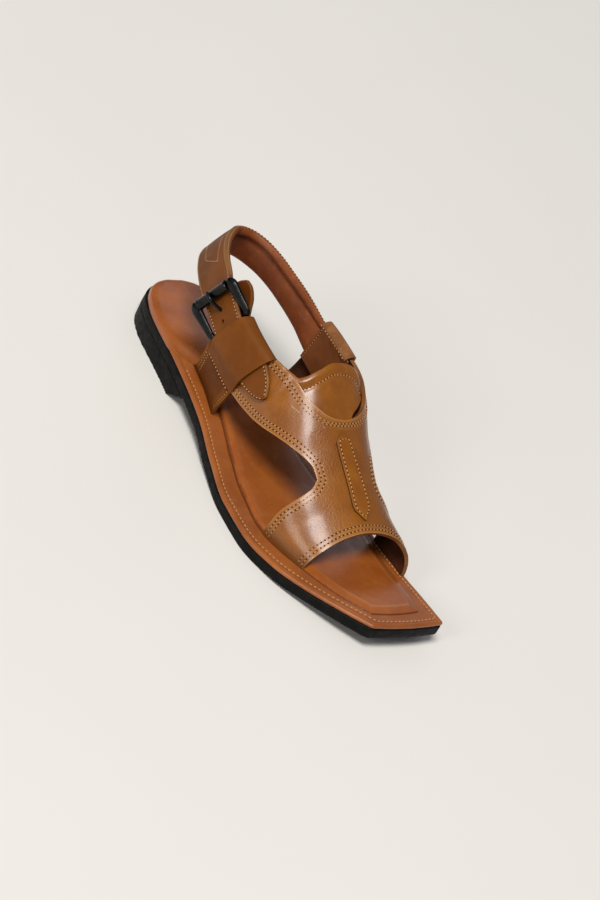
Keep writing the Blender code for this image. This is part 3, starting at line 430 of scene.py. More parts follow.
def bare_form(y, turn):
    """Points of the form: an arch over each section, tucked in towards its foot."""
    lateral = turn >= 0
    side = np.where(lateral, LATERAL, MEDIAL)
    angle = (1 - np.minimum(np.abs(turn), 1.0)) * math.pi / 2
    power = 2 / by_side(FULLNESS, y, lateral)
    foot = form_foot(y)
    z = foot + (RIDGE_Z(y) - foot) * np.sin(angle) ** power
    across = by_side(REACH, y, lateral) * np.maximum(np.cos(angle), 0.0) ** power
    across = across - TUCK(y) * np.maximum(0.0, 1 - (z - foot) / TUCK_HEIGHT) ** 2
    return np.stack([RIDGE_X(y) + side * across, y + 0 * z, z], -1)


def form_normal(y, turn):
    turn = np.clip(turn, TURN_STEP - 1, 1 - TURN_STEP)
    along = bare_form(y + Y_STEP, turn) - bare_form(y - Y_STEP, turn)
    round_it = bare_form(y, turn - TURN_STEP) - bare_form(y, turn + TURN_STEP)
    return -unit(np.cross(round_it, along))


def on_form(y, turn, stand_off=0.0):
    """Points on the form, or at a distance from it."""
    y, turn, stand_off = np.broadcast_arrays(np.asarray(y, float), np.asarray(turn, float), stand_off)
    return bare_form(y, turn) + form_normal(y, turn) * stand_off[..., None]


def turn_at(side, y, z):
    """How far round the form the height z lies on that side."""
    foot = form_foot(y)
    share = np.clip((z - foot) / (RIDGE_Z(y) - foot), 0.0, 1.0)
    return side * (1 - np.arcsin(share ** (FULLNESS[side](y) / 2)) / (math.pi / 2))


def turn_across(y, x):
    """How far round the form the place x lies, above the tuck of the foot."""
    y, x = np.broadcast_arrays(np.asarray(y, float), np.asarray(x, float))
    off = x - RIDGE_X(y)
    side = np.where(off >= 0, LATERAL, MEDIAL)
    share = np.clip(np.abs(off) / by_side(REACH, y, off >= 0), 0, 1) ** (by_side(FULLNESS, y, off >= 0) / 2)
    return side * (1 - np.arccos(share) / (math.pi / 2))


def side_point(side, place, stand_off=0.0):
    y, z = (np.asarray(value, float) for value in place)
    return on_form(y, turn_at(side, y, z), stand_off)


def bell(value):
    return np.exp(-(value**2))


def ridge(at, height, place, width):
    return height * bell((at - place) / width)


def lengths_along(points):
    """How far along a line each of its points is."""
    return np.concatenate([[0.0], np.cumsum(np.linalg.norm(np.diff(points, axis=0), axis=-1))])


def spline(points):
    """A function of 0 to 1 along a smooth curve through points, at even speed between them."""
    points = np.array(points, float)
    lengths = lengths_along(points)
    axes = [smooth(list(zip(lengths, points[:, k]))) for k in range(points.shape[1])]
    return lambda t: np.stack([axis(np.asarray(t, float) * lengths[-1]) for axis in axes], -1)


def flat(side, places):
    """Edge places (y, z) of one side as a curve over the form's own (y, turn), turn scaled to millimetres."""
    return spline([(y, float(turn_at(side, y, z)) * TURN_SCALE) for y, z in places])


def straight(a, b):
    a, b = np.asarray(a, float), np.asarray(b, float)
    return lambda t: a + (b - a) * np.asarray(t, float)[..., None]


def front_edge(first, last):
    edge = smooth(FRONT_EDGE)

    def place(t):
        turn = first + (last - first) * np.asarray(t, float)
        return np.stack([edge(turn), turn * TURN_SCALE], -1)

    return place


def patch(low, high, start, end, steps):
    """(y, turn) points inside four edges: low and high run along the patch, start and end across it."""
    u = np.linspace(0, 1, steps[0] + 1)[:, None, None]
    v = np.linspace(0, 1, steps[1] + 1)[None, :, None]
    lows, highs = low(u[:, 0, 0])[:, None], high(u[:, 0, 0])[:, None]
    starts, ends = start(v[0, :, 0])[None], end(v[0, :, 0])[None]
    place = lows * (1 - v) + highs * v + starts * (1 - u) + ends * u
    place = place - lows[:1] * (1 - u) * (1 - v) - lows[-1:] * u * (1 - v)
    place = place - highs[:1] * (1 - u) * v - highs[-1:] * u * v
    return place[..., 0], place[..., 1] / TURN_SCALE


def upper_patches():
    """The upper's patches and their side: each side's leg, band, column, arm, the arm's rear, and tab."""
    throat = np.array((SIDES[LATERAL].throat[0][0], 0.0))
    middle = np.array((COLUMN_FOOT_Y, 0.0))
    made = []
    for side, edges in SIDES.items():
        line = {name: flat(side, places) for name, places in edges._asdict().items()}
        corner, shoulder = line["cut_front"](1.0), line["cut_top_front"](1.0)
        turn = corner[1] / TURN_SCALE
        foot = straight((float(smooth(FRONT_EDGE)(side)), side * TURN_SCALE), line["cut_front"](0.0))
        front = front_edge(side, turn)
        across = straight(front(1.0), corner)
        top_line = straight(front_edge(0, 1)(0.0), middle)
        hinge = straight(line["cut_top_rear"](1.0), line["throat"](1.0))
        tab_ends = edges.tab_front[0][0], edges.tab_rear[0][0]
        tab_foot = straight(*((y, side * TURN_SCALE) for y in tab_ends))
        corner_line, shoulder_line = straight(corner, middle), straight(shoulder, throat)
        made += [(patch(*shape), side) for shape in (
            (foot, across, front, line["cut_front"], LEG_STEPS),
            (across, top_line, front_edge(turn, 0), corner_line, BAND_STEPS),
            (line["cut_top_front"], straight(middle, throat), corner_line, shoulder_line, COLUMN_STEPS),
            (line["cut_top_rear"], line["throat"], shoulder_line, hinge, ARM_STEPS),
            (line["arm_low"], line["arm_high"], hinge, line["arm_end"], REAR_STEPS),
            (tab_foot, line["arm_low"], line["tab_front"], line["tab_rear"], TAB_STEPS),
        )]
    return made


def resample(points, spacing, *others):
    """Points at an even spacing along a line, and the same places along any other arrays that go with it."""
    points = np.asarray(points, float)
    lengths = lengths_along(points)
    count = max(int(round(lengths[-1] / spacing)), 1)
    places = (np.arange(count) + 0.5) * lengths[-1] / count
    lines = []
    for line in (points, *others):
        lines.append(np.stack([np.interp(places, lengths, line[:, k]) for k in range(line.shape[1])], -1))
    return lines if others else lines[0]


def catmull(values, place):
    """Values at fractional indexes into a table, on a smooth curve through its rows."""
    values = np.asarray(values, float)
    place = np.asarray(place, float)
    i = np.clip(place.astype(int), 0, len(values) - 2)
    t = (place - i).reshape(place.shape + (1,) * (values.ndim - 1))
    before, a, b = values[np.maximum(i - 1, 0)], values[i], values[i + 1]
    after = values[np.minimum(i + 2, len(values) - 1)]
    second, third = 2 * before - 5 * a + 4 * b - after, 3 * (a - b) + after - before
    return a + 0.5 * t * (b - before + t * (second + t * third))


# ---------------------------------------------------------------- the frame, and what this script adds to it

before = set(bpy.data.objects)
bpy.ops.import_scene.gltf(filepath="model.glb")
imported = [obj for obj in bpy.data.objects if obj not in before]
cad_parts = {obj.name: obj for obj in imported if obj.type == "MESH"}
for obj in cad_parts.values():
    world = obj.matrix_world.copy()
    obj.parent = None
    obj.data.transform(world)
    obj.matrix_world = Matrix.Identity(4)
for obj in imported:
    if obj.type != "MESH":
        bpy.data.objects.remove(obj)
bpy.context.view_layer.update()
random = np.random.default_rng(SEED)
sole_stations = [HEEL_CENTRE_Y + SOLE_STATION * step for step in range(1, 23)]
widest = max(float(HALF_WIDTH[LATERAL](y)) for y in sole_stations)
welt_low, welt_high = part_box("welt")
SHIFT = np.array([welt_high.x / MM - widest, welt_low.y / MM - SOLE_BACK, 0.0])


def put(name, data):
    """A new object with this data, in the scene."""
    made = bpy.data.objects.new(name, data)
    bpy.context.scene.collection.objects.link(made)
    return made


@contextmanager
def opened(mesh):
    """The mesh's shape, written back when the block ends."""
    shape = bmesh.new()
    shape.from_mesh(mesh)
    yield shape
    shape.to_mesh(mesh)
    shape.free()


def new_mesh(name, points, faces, finishes, face_slots=None, weld=False):
    """An object of the shoe from points in millimetres of the drafting frame, faces and its materials."""
    mesh = bpy.data.meshes.new(name)
    located = (np.asarray(points, float) + SHIFT) * MM
    mesh.from_pydata(located.tolist(), [], [tuple(map(int, face)) for face in faces])
    for finish in finishes:
        mesh.materials.append(finish)
    if face_slots is not None:
        mesh.polygons.foreach_set("material_index", np.asarray(face_slots, np.int32))
    if weld:
        with opened(mesh) as shape:
            bmesh.ops.remove_doubles(shape, verts=shape.verts, dist=WELD)
            bmesh.ops.recalc_face_normals(shape, faces=shape.faces)
    mesh.shade_smooth()
    return put(name, mesh)


def place_of(obj):
    """The vertices of one of this script's objects, back in millimetres of the drafting frame."""
    co = np.empty(len(obj.data.vertices) * 3)
    obj.data.vertices.foreach_get("co", co)
    return co.reshape(-1, 3) / MM - SHIFT


def add_attribute(obj, name, values):
    attribute = obj.data.attributes.new(name, "FLOAT", "POINT")
    attribute.data.foreach_set("value", np.asarray(values, np.float32))


def finish_piece(obj, slot, *nodes):
    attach(obj, "root")
    if nodes:
        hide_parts(*nodes)
    return obj


def round_edges(obj, width, segments, degrees):
    """Rounds the edges that are sharper than this angle."""
    bevel = obj.modifiers.new("rounded edge", "BEVEL")
    bevel.width = width * MM
    bevel.segments = segments
    bevel.limit_method = "ANGLE"
    bevel.angle_limit = math.radians(degrees)


def add_wall(obj, wall, bevel, inside=0, rim=0):
    """Thickness inwards from the outer face, with the trimmed edges rounded."""
    thick = obj.modifiers.new("wall", "SOLIDIFY")
    thick.thickness = wall * MM
    thick.offset = -1.0
    thick.use_even_offset = True
    thick.material_offset = inside
    thick.material_offset_rim = rim
    round_edges(obj, bevel, 3, 50)


def grid_faces(rows, columns, first=0, flip=False, closed=False):
    """Quads over a grid of points; closed joins the last column to the first."""
    r, c = np.meshgrid(np.arange(rows - 1), np.arange(columns if closed else columns - 1), indexing="ij")
    nxt = (c + 1) % columns
    faces = np.stack([r * columns + c, r * columns + nxt, (r + 1) * columns + nxt, (r + 1) * columns + c], -1)
    faces = faces.reshape(-1, 4) + first
    return faces[:, ::-1] if flip else faces


def ring_faces(rows, columns):
    """Quads round a closed ring of closed loops of points."""
    faces = [tuple(face) for face in grid_faces(rows, columns, closed=True)]
    last = (rows - 1) * columns
    return faces + [(last + c, last + (c + 1) % columns, (c + 1) % columns, c) for c in range(columns)]


class Parts:
    """Points, faces and slots of many small shapes that become one mesh."""

    def __init__(self):
        self.points, self.faces, self.slots, self.count = [], [], [], 0

    def add(self, points, faces, slot=0):
        points = np.asarray(points, float).reshape(-1, 3)
        self.points.append(points)
        self.cover(faces, slot, self.count)
        self.count += len(points)

    def cover(self, faces, slot=0, first=0):
        """Faces over points that are there already, counted from first."""
        self.faces += [tuple(int(i) + first for i in face) for face in faces]
        self.slots += [slot] * len(faces)

    def cap(self, loops):
        """A face over each end of a row of loops, with points of its own."""
        ring = tuple(range(loops.shape[1]))
        self.add(loops[0], [ring[::-1]])
        self.add(loops[-1], [ring])

    def mesh(self, name, finishes, weld=False):
        return new_mesh(name, np.concatenate(self.points), self.faces, finishes, self.slots, weld)

    def sew(self, name, slot):
        """Ends a set of stitch rows as one piece."""
        finish_piece(self.mesh(name, [pale_thread, hole_painted_shade]), slot)


# ---------------------------------------------------------------- materials


class Shade:
    """A small builder of node materials over coordinates in millimetres."""

    def __init__(self, name, **sockets):
        self.material = bpy.data.materials.new(name)
        self.material.use_nodes = True
        self.tree = self.material.node_tree
        self.shader = self.tree.nodes["Principled BSDF"]
        for socket, value in sockets.items():
            self.shader.inputs[socket.replace("_", " ")].default_value = value
        self.place = self.vector("SCALE", self.node("TexCoord", {}).outputs["Object"], 1 / MM)

    def node(self, kind, inputs, **settings):
        """A new node. Its inputs, by name or number, are values or other nodes' outputs."""
        made = self.tree.nodes.new("ShaderNode" + kind)
        for setting, value in settings.items():
            setattr(made, setting, value)
        for key, value in inputs.items():
            if isinstance(value, bpy.types.NodeSocket):
                self.tree.links.new(value, made.inputs[key])
            else:
                made.inputs[key].default_value = value
        return made

    def set(self, socket, source):
        self.tree.links.new(source, self.shader.inputs[socket])

    def math(self, operation, a, b=0.0, clamp=False):
        return self.node("Math", {0: a, 1: b}, operation=operation, use_clamp=clamp).outputs[0]

    def vector(self, operation, a, b=None, output=0):
        inputs = {0: a}
        if b is not None:
            inputs["Scale" if operation == "SCALE" else 1] = b
        return self.node("VectorMath", inputs, operation=operation).outputs[output]

    def noise(self, size, detail=3.0, roughness=0.55):
        """Noise from 0 to 1 whose blobs are about size millimetres across."""
        inputs = {"Scale": 1 / size, "Detail": detail, "Roughness": roughness, "Vector": self.place}
        return self.node("TexNoise", inputs).outputs["Fac"]

    def cells(self, size):
        """Distance in a field of cells about size millimetres across."""
        return self.node("TexVoronoi", {"Scale": 1 / size, "Vector": self.place}).outputs["Distance"]

    def segment(self, a, b):
        """Distance in millimetres from the straight line between two places (y, turn) of the form."""
        a, b = (on_form(y, turn) + SHIFT for y, turn in (a, b))
        run = b - a
        offset = self.vector("SUBTRACT", self.place, tuple(a))
        along = self.vector("DOT_PRODUCT", offset, tuple(run / (run @ run)), "Value")
        nearest = self.vector("SCALE", tuple(run), self.math("ADD", along, 0.0, clamp=True))
        return self.vector("LENGTH", self.vector("SUBTRACT", offset, nearest), output="Value")

    def attribute(self, name):
        return self.node("Attribute", {}, attribute_name=name).outputs["Fac"]

    def ramp(self, value, low, high, first=0.0, last=1.0):
        """value from low to high, turned smoothly into first to last."""
        inputs = {"Value": value, "From Min": low, "From Max": high, "To Min": first, "To Max": last}
        return self.node("MapRange", inputs, interpolation_type="SMOOTHSTEP").outputs[0]

    def mix(self, share, a, b):
        """Colour a where share is 0 and colour b where it is 1."""
        a, b = ((*value, 1.0) if isinstance(value, tuple) else value for value in (a, b))
        return self.node("Mix", {0: share, 6: a, 7: b}, data_type="RGBA").outputs[2]

    def tint(self, colour, other, share, value, low, high, first=0.0, last=1.0):
        """colour, with up to a share of the other one where the value's ramp says so."""
        return self.mix(self.math("MULTIPLY", self.ramp(value, low, high, first, last), share), colour, other)

    def most(self, values):
        return reduce(lambda a, b: self.math("MAXIMUM", a, b), values)

    def bump(self, *layers):
        """Bump from (height, depth in millimetres) layers."""
        under = {}
        for height, depth in layers:
            inputs = {"Strength": 1.0, "Distance": depth * MM, "Height": height, **under}
            under = {"Normal": self.node("Bump", inputs).outputs["Normal"]}
        self.set("Normal", under["Normal"])


def leather(name, base, deep, pale, rough=0.42, grain=0.9, depth=0.05, coat=0.25, coat_rough=0.25, folds=0.12,
            shine=0.5, edge=False, crease=False):
    """Smooth tanned leather: mottled colour, fine pores and a pebbled grain.

    edge adds what the upper has: pale trimmed edges, sunken seams, painted shade that darkens its feet, and
    two scratches.
    crease adds the footbed's painted shade, a dark line along its foot by the welt, and a painted highlight,
    a pale line along the top edge of its toe bevel.
    """
    shade = Shade(name, Coat_Weight=coat, Coat_Roughness=coat_rough, Specular_IOR_Level=shine)
    pores = shade.cells(grain)
    colour = shade.mix(shade.ramp(shade.noise(26, 4.0), 0.35, 0.7), deep, base)
    colour = shade.tint(colour, pale, 0.18, shade.noise(5, 3.0), 0.5, 0.8)
    colour = shade.tint(colour, deep, 0.25, pores, 0.45, 0.9)
    layers = [(shade.noise(14, 3.0), folds), (pores, depth), (shade.noise(0.35, 2.0), depth * 0.6)]
    if edge:
        seam = shade.attribute("seam")
        colour = shade.tint(colour, pale, 0.75, shade.attribute("edge"), 0.0, 1.1, 1.0, 0.0)
        colour = shade.tint(colour, pale, 0.3, seam, 4.6, 6.6, 1.0, 0.0)
        off_rows = [shade.math("ABSOLUTE", shade.math("SUBTRACT", seam, row)) for row in ROWS]
        grooves = shade.most(shade.ramp(away, 0.1, 1.0, 1.0, 0.0) for away in off_rows)
        colour = shade.mix(shade.math("MULTIPLY", grooves, 0.3), colour, deep)
        layers.append((shade.math("SUBTRACT", 1.0, grooves), 0.22))
        # Painted shade: darker towards the upper's feet, which stand in shade by the welt.
        foot_shade = shade.ramp(shade.attribute("height"), 1.0, FOOT_SHADE_HEIGHT, 0.75, 0.0)
        colour = shade.mix(foot_shade, colour, FOOT_PAINTED_SHADE)
        marks = shade.most(shade.ramp(shade.segment(a, b), 0.12, 0.4, 1.0, 0.0) for a, b in SCRATCHES)
        colour = shade.mix(shade.math("MULTIPLY", marks, 0.45), colour, SCRATCH_PALE)
    if crease:
        # Painted shade: a dark line along the pad's foot, where it meets the welt.
        colour = shade.mix(shade.ramp(shade.attribute("crease"), 0.25, 1.1, 0.7, 0.0), colour, CREASE_PAINTED_SHADE)
        # Painted highlight: a pale line along the top edge of the toe bevel.
        colour = shade.mix(shade.ramp(shade.attribute("painted_crest_highlight"), 0.2, 1.3, 0.22, 0.0), colour, pale)
    shade.set("Base Color", colour)
    shade.set("Roughness", shade.ramp(shade.noise(9, 2.5), 0.3, 0.75, rough - 0.06, rough + 0.07))
    shade.bump(*layers)
    return shade.material


def suede(name, base, deep, pale, sheen=0.15):
    shade = Shade(name, Roughness=0.9, Sheen_Weight=sheen, Sheen_Roughness=0.5, Specular_IOR_Level=0.2)
    colour = shade.mix(shade.ramp(shade.noise(7, 5.0), 0.3, 0.7), deep, base)
    shade.set("Base Color", shade.tint(colour, pale, 0.4, shade.noise(0.8, 4.0), 0.45, 0.8))
    shade.bump((shade.noise(0.5, 4.0), 0.08), (shade.noise(6, 3.0), 0.15))
    return shade.material


def rubber():
    shade = Shade("black_rubber", Specular_IOR_Level=0.12)
    colour = shade.mix(shade.ramp(shade.noise(8, 5.0), 0.35, 0.75), RUBBER_DEEP, RUBBER_BASE)
    shade.set("Base Color", shade.tint(colour, RUBBER_DUST, 0.08, shade.noise(2.2, 6.0, 0.7), 0.6, 0.85))
    shade.set("Roughness", shade.ramp(shade.noise(3, 4.0), 0.3, 0.8, 0.5, 0.75))
    shade.bump((shade.noise(1.2, 4.0), 0.08), (shade.noise(0.3, 2.0), 0.03))
    return shade.material


def thread(name, base, deep, sheen=0.2, shine=0.5):
    shade = Shade(name, Roughness=0.6, Sheen_Weight=sheen, Specular_IOR_Level=shine)
    ply = shade.noise(0.35, 3.0, 0.6)
    shade.set("Base Color", shade.mix(shade.ramp(ply, 0.35, 0.7), deep, base))
    shade.bump((ply, 0.05))
    return shade.material


def metal():
    shade = Shade("gunmetal_black", Metallic=0.9, Coat_Weight=0.22, Coat_Roughness=0.1)
    shade.set("Base Color", shade.mix(shade.ramp(shade.noise(5, 4.0), 0.35, 0.7), METAL_DEEP, METAL_BASE))
    shade.set("Roughness", shade.ramp(shade.noise(2, 5.0), 0.3, 0.8, 0.26, 0.42))
    shade.bump((shade.noise(3.0, 3.0), 0.02))
    return shade.material


# Colours. A leather's are its base, its darker blotches and its pale wear.
VAMP = (0.305, 0.099, 0.0055), (0.225, 0.066, 0.0035), (0.45, 0.195, 0.045)
# Painted shade: the tab's leather is the vamp's, darkened for the shade it stands in.
TAB_SHADED = (0.15, 0.042, 0.0055), (0.11, 0.029, 0.004), VAMP[0]
PLAIN = (0.2, 0.061, 0.0065), (0.155, 0.044, 0.0045), VAMP[0]
STRAP_TAN = (0.185, 0.054, 0.006), (0.14, 0.04, 0.0045), VAMP[0]
CUT_EDGE = (0.26, 0.11, 0.03), (0.15, 0.05, 0.012), (0.46, 0.24, 0.09)
# Dark edge paint, deepened by painted shade for the strip's shaded side wall.
EDGE_PAINT_AND_SHADE = (0.05, 0.018, 0.006), (0.03, 0.01, 0.003), (0.12, 0.05, 0.02)
WELT_TAN = (0.37, 0.108, 0.02), (0.28, 0.075, 0.013), (0.54, 0.23, 0.08)
BED = (0.375, 0.104, 0.016), (0.295, 0.074, 0.011), WELT_TAN[2]
LINING = (0.27, 0.068, 0.014), (0.17, 0.038, 0.008), WELT_TAN[2]
PANEL = (0.2, 0.062, 0.014), (0.14, 0.04, 0.009), (0.3, 0.11, 0.035)
DARK_LINING = (0.075, 0.021, 0.006), (0.035, 0.01, 0.003), (0.14, 0.04, 0.012)
WRAP = (0.3, 0.12, 0.038), (0.19, 0.068, 0.019), (0.42, 0.21, 0.09)
PALE_THREAD = (0.72, 0.4, 0.17), (0.5, 0.24, 0.085)
# Painted shade: dark dots stand for the shade inside the needle holes.
NEEDLE_HOLE_SHADE = (0.085, 0.03, 0.009), (0.045, 0.014, 0.005)
RUBBER_BASE, RUBBER_DEEP, RUBBER_DUST = (0.008, 0.008, 0.0075), (0.003, 0.003, 0.003), (0.05, 0.049, 0.045)
METAL_BASE, METAL_DEEP = (0.016, 0.0162, 0.017), (0.006, 0.0061, 0.0065)
# Painted shade for the pad's foot line and the upper's feet; the scratches' pale is real wear.
CREASE_PAINTED_SHADE, SCRATCH_PALE, FOOT_PAINTED_SHADE = (0.06, 0.015, 0.004), (0.62, 0.42, 0.22), (0.1, 0.03, 0.003)

# Painted shade: the upper's feet are darkened up to this height above the welt, where they stand in shade.
FOOT_SHADE_HEIGHT = 11.0

vamp_leather = leather("vamp_leather", *VAMP, rough=0.38, grain=1.25, depth=0.17, coat=0.5, coat_rough=0.2,
                       shine=0.35, edge=True)
tab_shaded_leather = leather("tab_shaded_leather", *TAB_SHADED, rough=0.55, depth=0.03, coat=0.0, shine=0.1, edge=True)
plain_leather = leather("plain_leather", *PLAIN, rough=0.55, depth=0.02, coat=0.0, folds=0.06, shine=0.13)
strip_leather = leather("strip_leather", *VAMP, rough=0.42, coat=0.1, shine=0.35)
tongue_leather = leather("tongue_leather", *VAMP, rough=0.3, depth=0.02, coat=0.4, coat_rough=0.2, folds=0.06,
                         shine=0.4)
strap_leather = leather("strap_leather", *STRAP_TAN, rough=0.55, depth=0.02, coat=0.0, shine=0.15)
edge_leather = leather("edge_leather", *CUT_EDGE, rough=0.5, coat=0.0, shine=0.3)
edge_paint_and_shade = leather("edge_paint_and_shade", *EDGE_PAINT_AND_SHADE, coat=0.0)
welt_leather = leather("welt_leather", *WELT_TAN, rough=0.4, depth=0.02, coat=0.1, shine=0.4)
bed_leather = leather("bed_leather", *BED, rough=0.32, depth=0.015, coat=0.15, coat_rough=0.2, folds=0.05,
                      shine=0.45, crease=True)
lining_leather = leather("lining_leather", *LINING, rough=0.48, depth=0.03, coat=0.0, folds=0.2, shine=0.35)
panel_leather = leather("panel_leather", *PANEL, rough=0.5, depth=0.03, coat=0.0, shine=0.3)
dark_lining = suede("dark_lining", *DARK_LINING, sheen=0.0)
wrap_suede = suede("wrap_suede", *WRAP)
black_rubber = rubber()
pale_thread = thread("pale_thread", *PALE_THREAD)
hole_painted_shade = thread("needle_hole_shade", *NEEDLE_HOLE_SHADE, sheen=0.0, shine=0.0)
gunmetal = metal()

# ---------------------------------------------------------------- sole stack


def edge_point(side, y, inset):
    """(x, y) of the sole's outline, moved in by inset; at the heel it is scaled about the seat's centre."""
    width = HALF_WIDTH[side]
    share = 1 - inset / (HEEL_CENTRE_Y - SOLE_BACK)
    slope = (width(y + 1) - width(y - 1)) / 2
    run = np.maximum(y - (SOLE_LENGTH - TOE_CORNER), 0.0)
    corner = TOE_CORNER - np.sqrt(np.maximum(TOE_CORNER**2 - run**2, 0.0))
    heel = y < HEEL_CENTRE_Y
    x = np.where(heel, width(y) * share, width(y) - corner - inset * np.hypot(1, slope))
    return side * x, np.where(heel, HEEL_CENTRE_Y - (HEEL_CENTRE_Y - y) * share, y)


def stations(last, spacing=2.0):
    """Values of y from the back of the sole, closer together round the heel and at the toe's corners."""
    back = SOLE_BACK + (HEEL_CENTRE_Y - SOLE_BACK) * np.linspace(0, 1, HEEL_STATIONS) ** 2
    middle = np.arange(HEEL_CENTRE_Y + spacing, min(last, SOLE_LENGTH - TOE_CORNER), spacing)
    corners = SOLE_LENGTH - TOE_CORNER * np.array(CORNER_STATIONS)
    return np.concatenate([back, middle, corners if last >= SOLE_LENGTH else [last]])


def plan(ys, shares, inset, more=0.0, front_inset=0.0):
    """A grid of (x, y) across the sole; shares run from the medial edge (-1) to the lateral (1)."""
    forward = np.maximum(ys - HEEL_CENTRE_Y, 0.0) / (SOLE_LENGTH - HEEL_CENTRE_Y)
    medial = edge_point(MEDIAL, ys, inset[MEDIAL](ys) + more if inset else more)
    lateral = edge_point(LATERAL, ys, inset[LATERAL](ys) + more if inset else more)
    mix = (np.asarray(shares)[None] + 1) / 2
    x = medial[0][:, None] * (1 - mix) + lateral[0][:, None] * mix
    at_toe = (ys == SOLE_LENGTH)[:, None]
    y = lateral[1][:, None] - (forward * (front_inset + more))[:, None]
    y = y + np.where(at_toe, TOE_BOW * (1 - np.asarray(shares)[None] ** 2), 0.0)
    return np.stack([x, y + 0 * x], -1)


def rim_of(grid):
    """Indexes of a grid's border, in order round it."""
    rows, columns = grid.shape[:2]
    index = np.arange(rows * columns).reshape(rows, columns)
    return np.concatenate([index[0, :-1], index[:-1, -1], index[-1, :0:-1], index[:0:-1, 0]])


def sole_rim(inset=None, front_inset=0.0):
    """(x, y) points all round the sole's outline, or round the outline moved in by inset."""
    row = plan(stations(SOLE_LENGTH, 1.0), np.linspace(-1, 1, 41), inset, 0.0, front_inset)
    return row.reshape(-1, 2)[rim_of(row)]


def rim_distance(lines, rim):
    """How far each (x, y) place of some lines of places is from a rim."""
    return np.array([np.linalg.norm(line[:, None] - rim[None], axis=-1).min(-1) for line in lines])


def weather(loops, rough, ribs):
    """Moves a slab's edge in and out, in place: random wear all over, and ribs near its bottom."""
    wave = random.normal(0, rough, loops.shape[:2])
    wave = (wave + np.roll(wave, 1, 1) + np.roll(wave, 2, 1)) / 3
    centre_y = np.clip(loops[..., 1:2], HEEL_CENTRE_Y, SOLE_LENGTH - TOE_CENTRE_BACK)
    out = unit((loops - centre_y * (0, 1, 0)) * (1, 1, 0))
    loops[1:-1] += (out * wave[..., None])[1:-1]
    rib = ribs * np.maximum(np.sin(lengths_along(loops[1]) * 2 * math.pi / RIB_PITCH), RIB_FLOOR)
    low = np.clip(1.6 - np.arange(len(loops)) / 2, 0, 1)[:, None]
    loops[:-1] += (out * (rib * low)[..., None])[:-1]


def slab(name, ys, shares, profile, top, bottom, finish, inset=None, front_inset=0.0, rough=0.0, ribs=0.0,
         bottom_run=None):
    """A slab of the sole. profile is its edge, from the bottom up, as (how far in, share of the height).

    rough and ribs are how far its edge is worn and ribbed; bottom_run(y) is how far its bottom is moved back.
    """
    rings = []
    for more, level in profile:
        grid = plan(ys, shares, inset, more, front_inset)
        if bottom_run is not None:
            grid[..., 1] -= bottom_run(ys)[:, None] * (1 - level)
        x, y = grid[..., 0], grid[..., 1]
        rings.append(np.stack([x, y, bottom(x, y) * (1 - level) + top(x, y) * level], -1))
    border = rim_of(rings[0])
    loops = np.array([ring.reshape(-1, 3)[border] for ring in rings])
    if rough:
        weather(loops, rough, ribs)
    parts = Parts()
    parts.add(loops, grid_faces(len(loops), len(border), closed=True))
    parts.add(rings[-1], grid_faces(*rings[-1].shape[:2]))
    parts.add(rings[0], grid_faces(*rings[0].shape[:2], flip=True))
    return parts.mesh(name, [finish], weld=True)


def make_sole():
    shares = np.linspace(-1, 1, 29)
    ys = stations(SOLE_LENGTH)
    rim = sole_rim()

    def tread(x, y):
        """Bottom of the outsole, with shallow waved grooves under the ball of the foot and the toe."""
        wave = y + TREAD_WAVE * np.sin(x * 2 * math.pi / TREAD_WAVE_WIDTH)
        groove = np.clip(np.cos(wave * 2 * math.pi / TREAD_PITCH) * 3 - 1.6, 0, 1)
        inside = np.clip(np.minimum((y - TREAD_FROM) / 10, (TREAD_TO - y) / 6), 0, 1)
        inside = inside * np.clip((rim_distance(np.stack([x, y], -1), rim) - TREAD_MARGIN) / 2.0, 0, 1)
        drop = TOE_RUBBER * np.clip((y - TOE_RUBBER_FROM) / TOE_RUBBER_RUN, 0, 1)
        return OUTSOLE_TOP(y) - OUTSOLE_THICKNESS - drop + TREAD_DEPTH * groove * inside

    outsole = slab("outsole_rubber", ys, shares, OUTSOLE_EDGE, lambda x, y: OUTSOLE_TOP(y), tread,
                   black_rubber, rough=OUTSOLE_ROUGH)
    finish_piece(outsole, "rubber", "outsole")

    def breast(y):
        return HEEL_BREAST_RUN * np.maximum((y - HEEL_CENTRE_Y) / (HEEL_LENGTH - HEEL_CENTRE_Y), 0) ** 2

    def heel_top(x, y):
        return OUTSOLE_TOP(y) - OUTSOLE_THICKNESS - HEEL_GAP

    heel = slab("heel_rubber", stations(HEEL_LENGTH), shares, HEEL_EDGE, heel_top, lambda x, y: 0.0 * y,
                black_rubber, rough=HEEL_ROUGH, ribs=HEEL_RIBS, bottom_run=breast)
    finish_piece(heel, "rubber", "heel")

    under = smooth(WELT_UNDER_SEAT)
    inset = {side: lambda y: np.where(y < WELT_SEAT_END, under(y), 0.0) for side in SIDES}
    welt = slab("welt_band", ys, shares, WELT_EDGE, lambda x, y: welt_top(y),
                lambda x, y: OUTSOLE_TOP(y) + GAP, welt_leather, inset=inset)
    finish_piece(welt, "welt_leather", "welt")

    row = plan(ys, shares, None, WELT_GROOVE)
    border = row.reshape(-1, 2)[rim_of(row)]
    points = np.column_stack([border, welt_top(border[:, 1])])
    start = next(i for i, (x, y, _) in enumerate(points) if x > 0 and y > WELT_ROW_FROM[LATERAL])
    end = max(i for i, (x, y, _) in enumerate(points) if x < 0 and y > WELT_ROW_FROM[MEDIAL])
    line = points[start:end + 1]
    stitches = Parts()
    stitch_row(stitches, line, np.tile([0.0, 0.0, 1.0], (len(line), 1)), pitch=3.0, long=1.9, wide=0.65,
               sink=0.08, holes=False)
    stitches.sew("welt_stitches", "welt_leather")


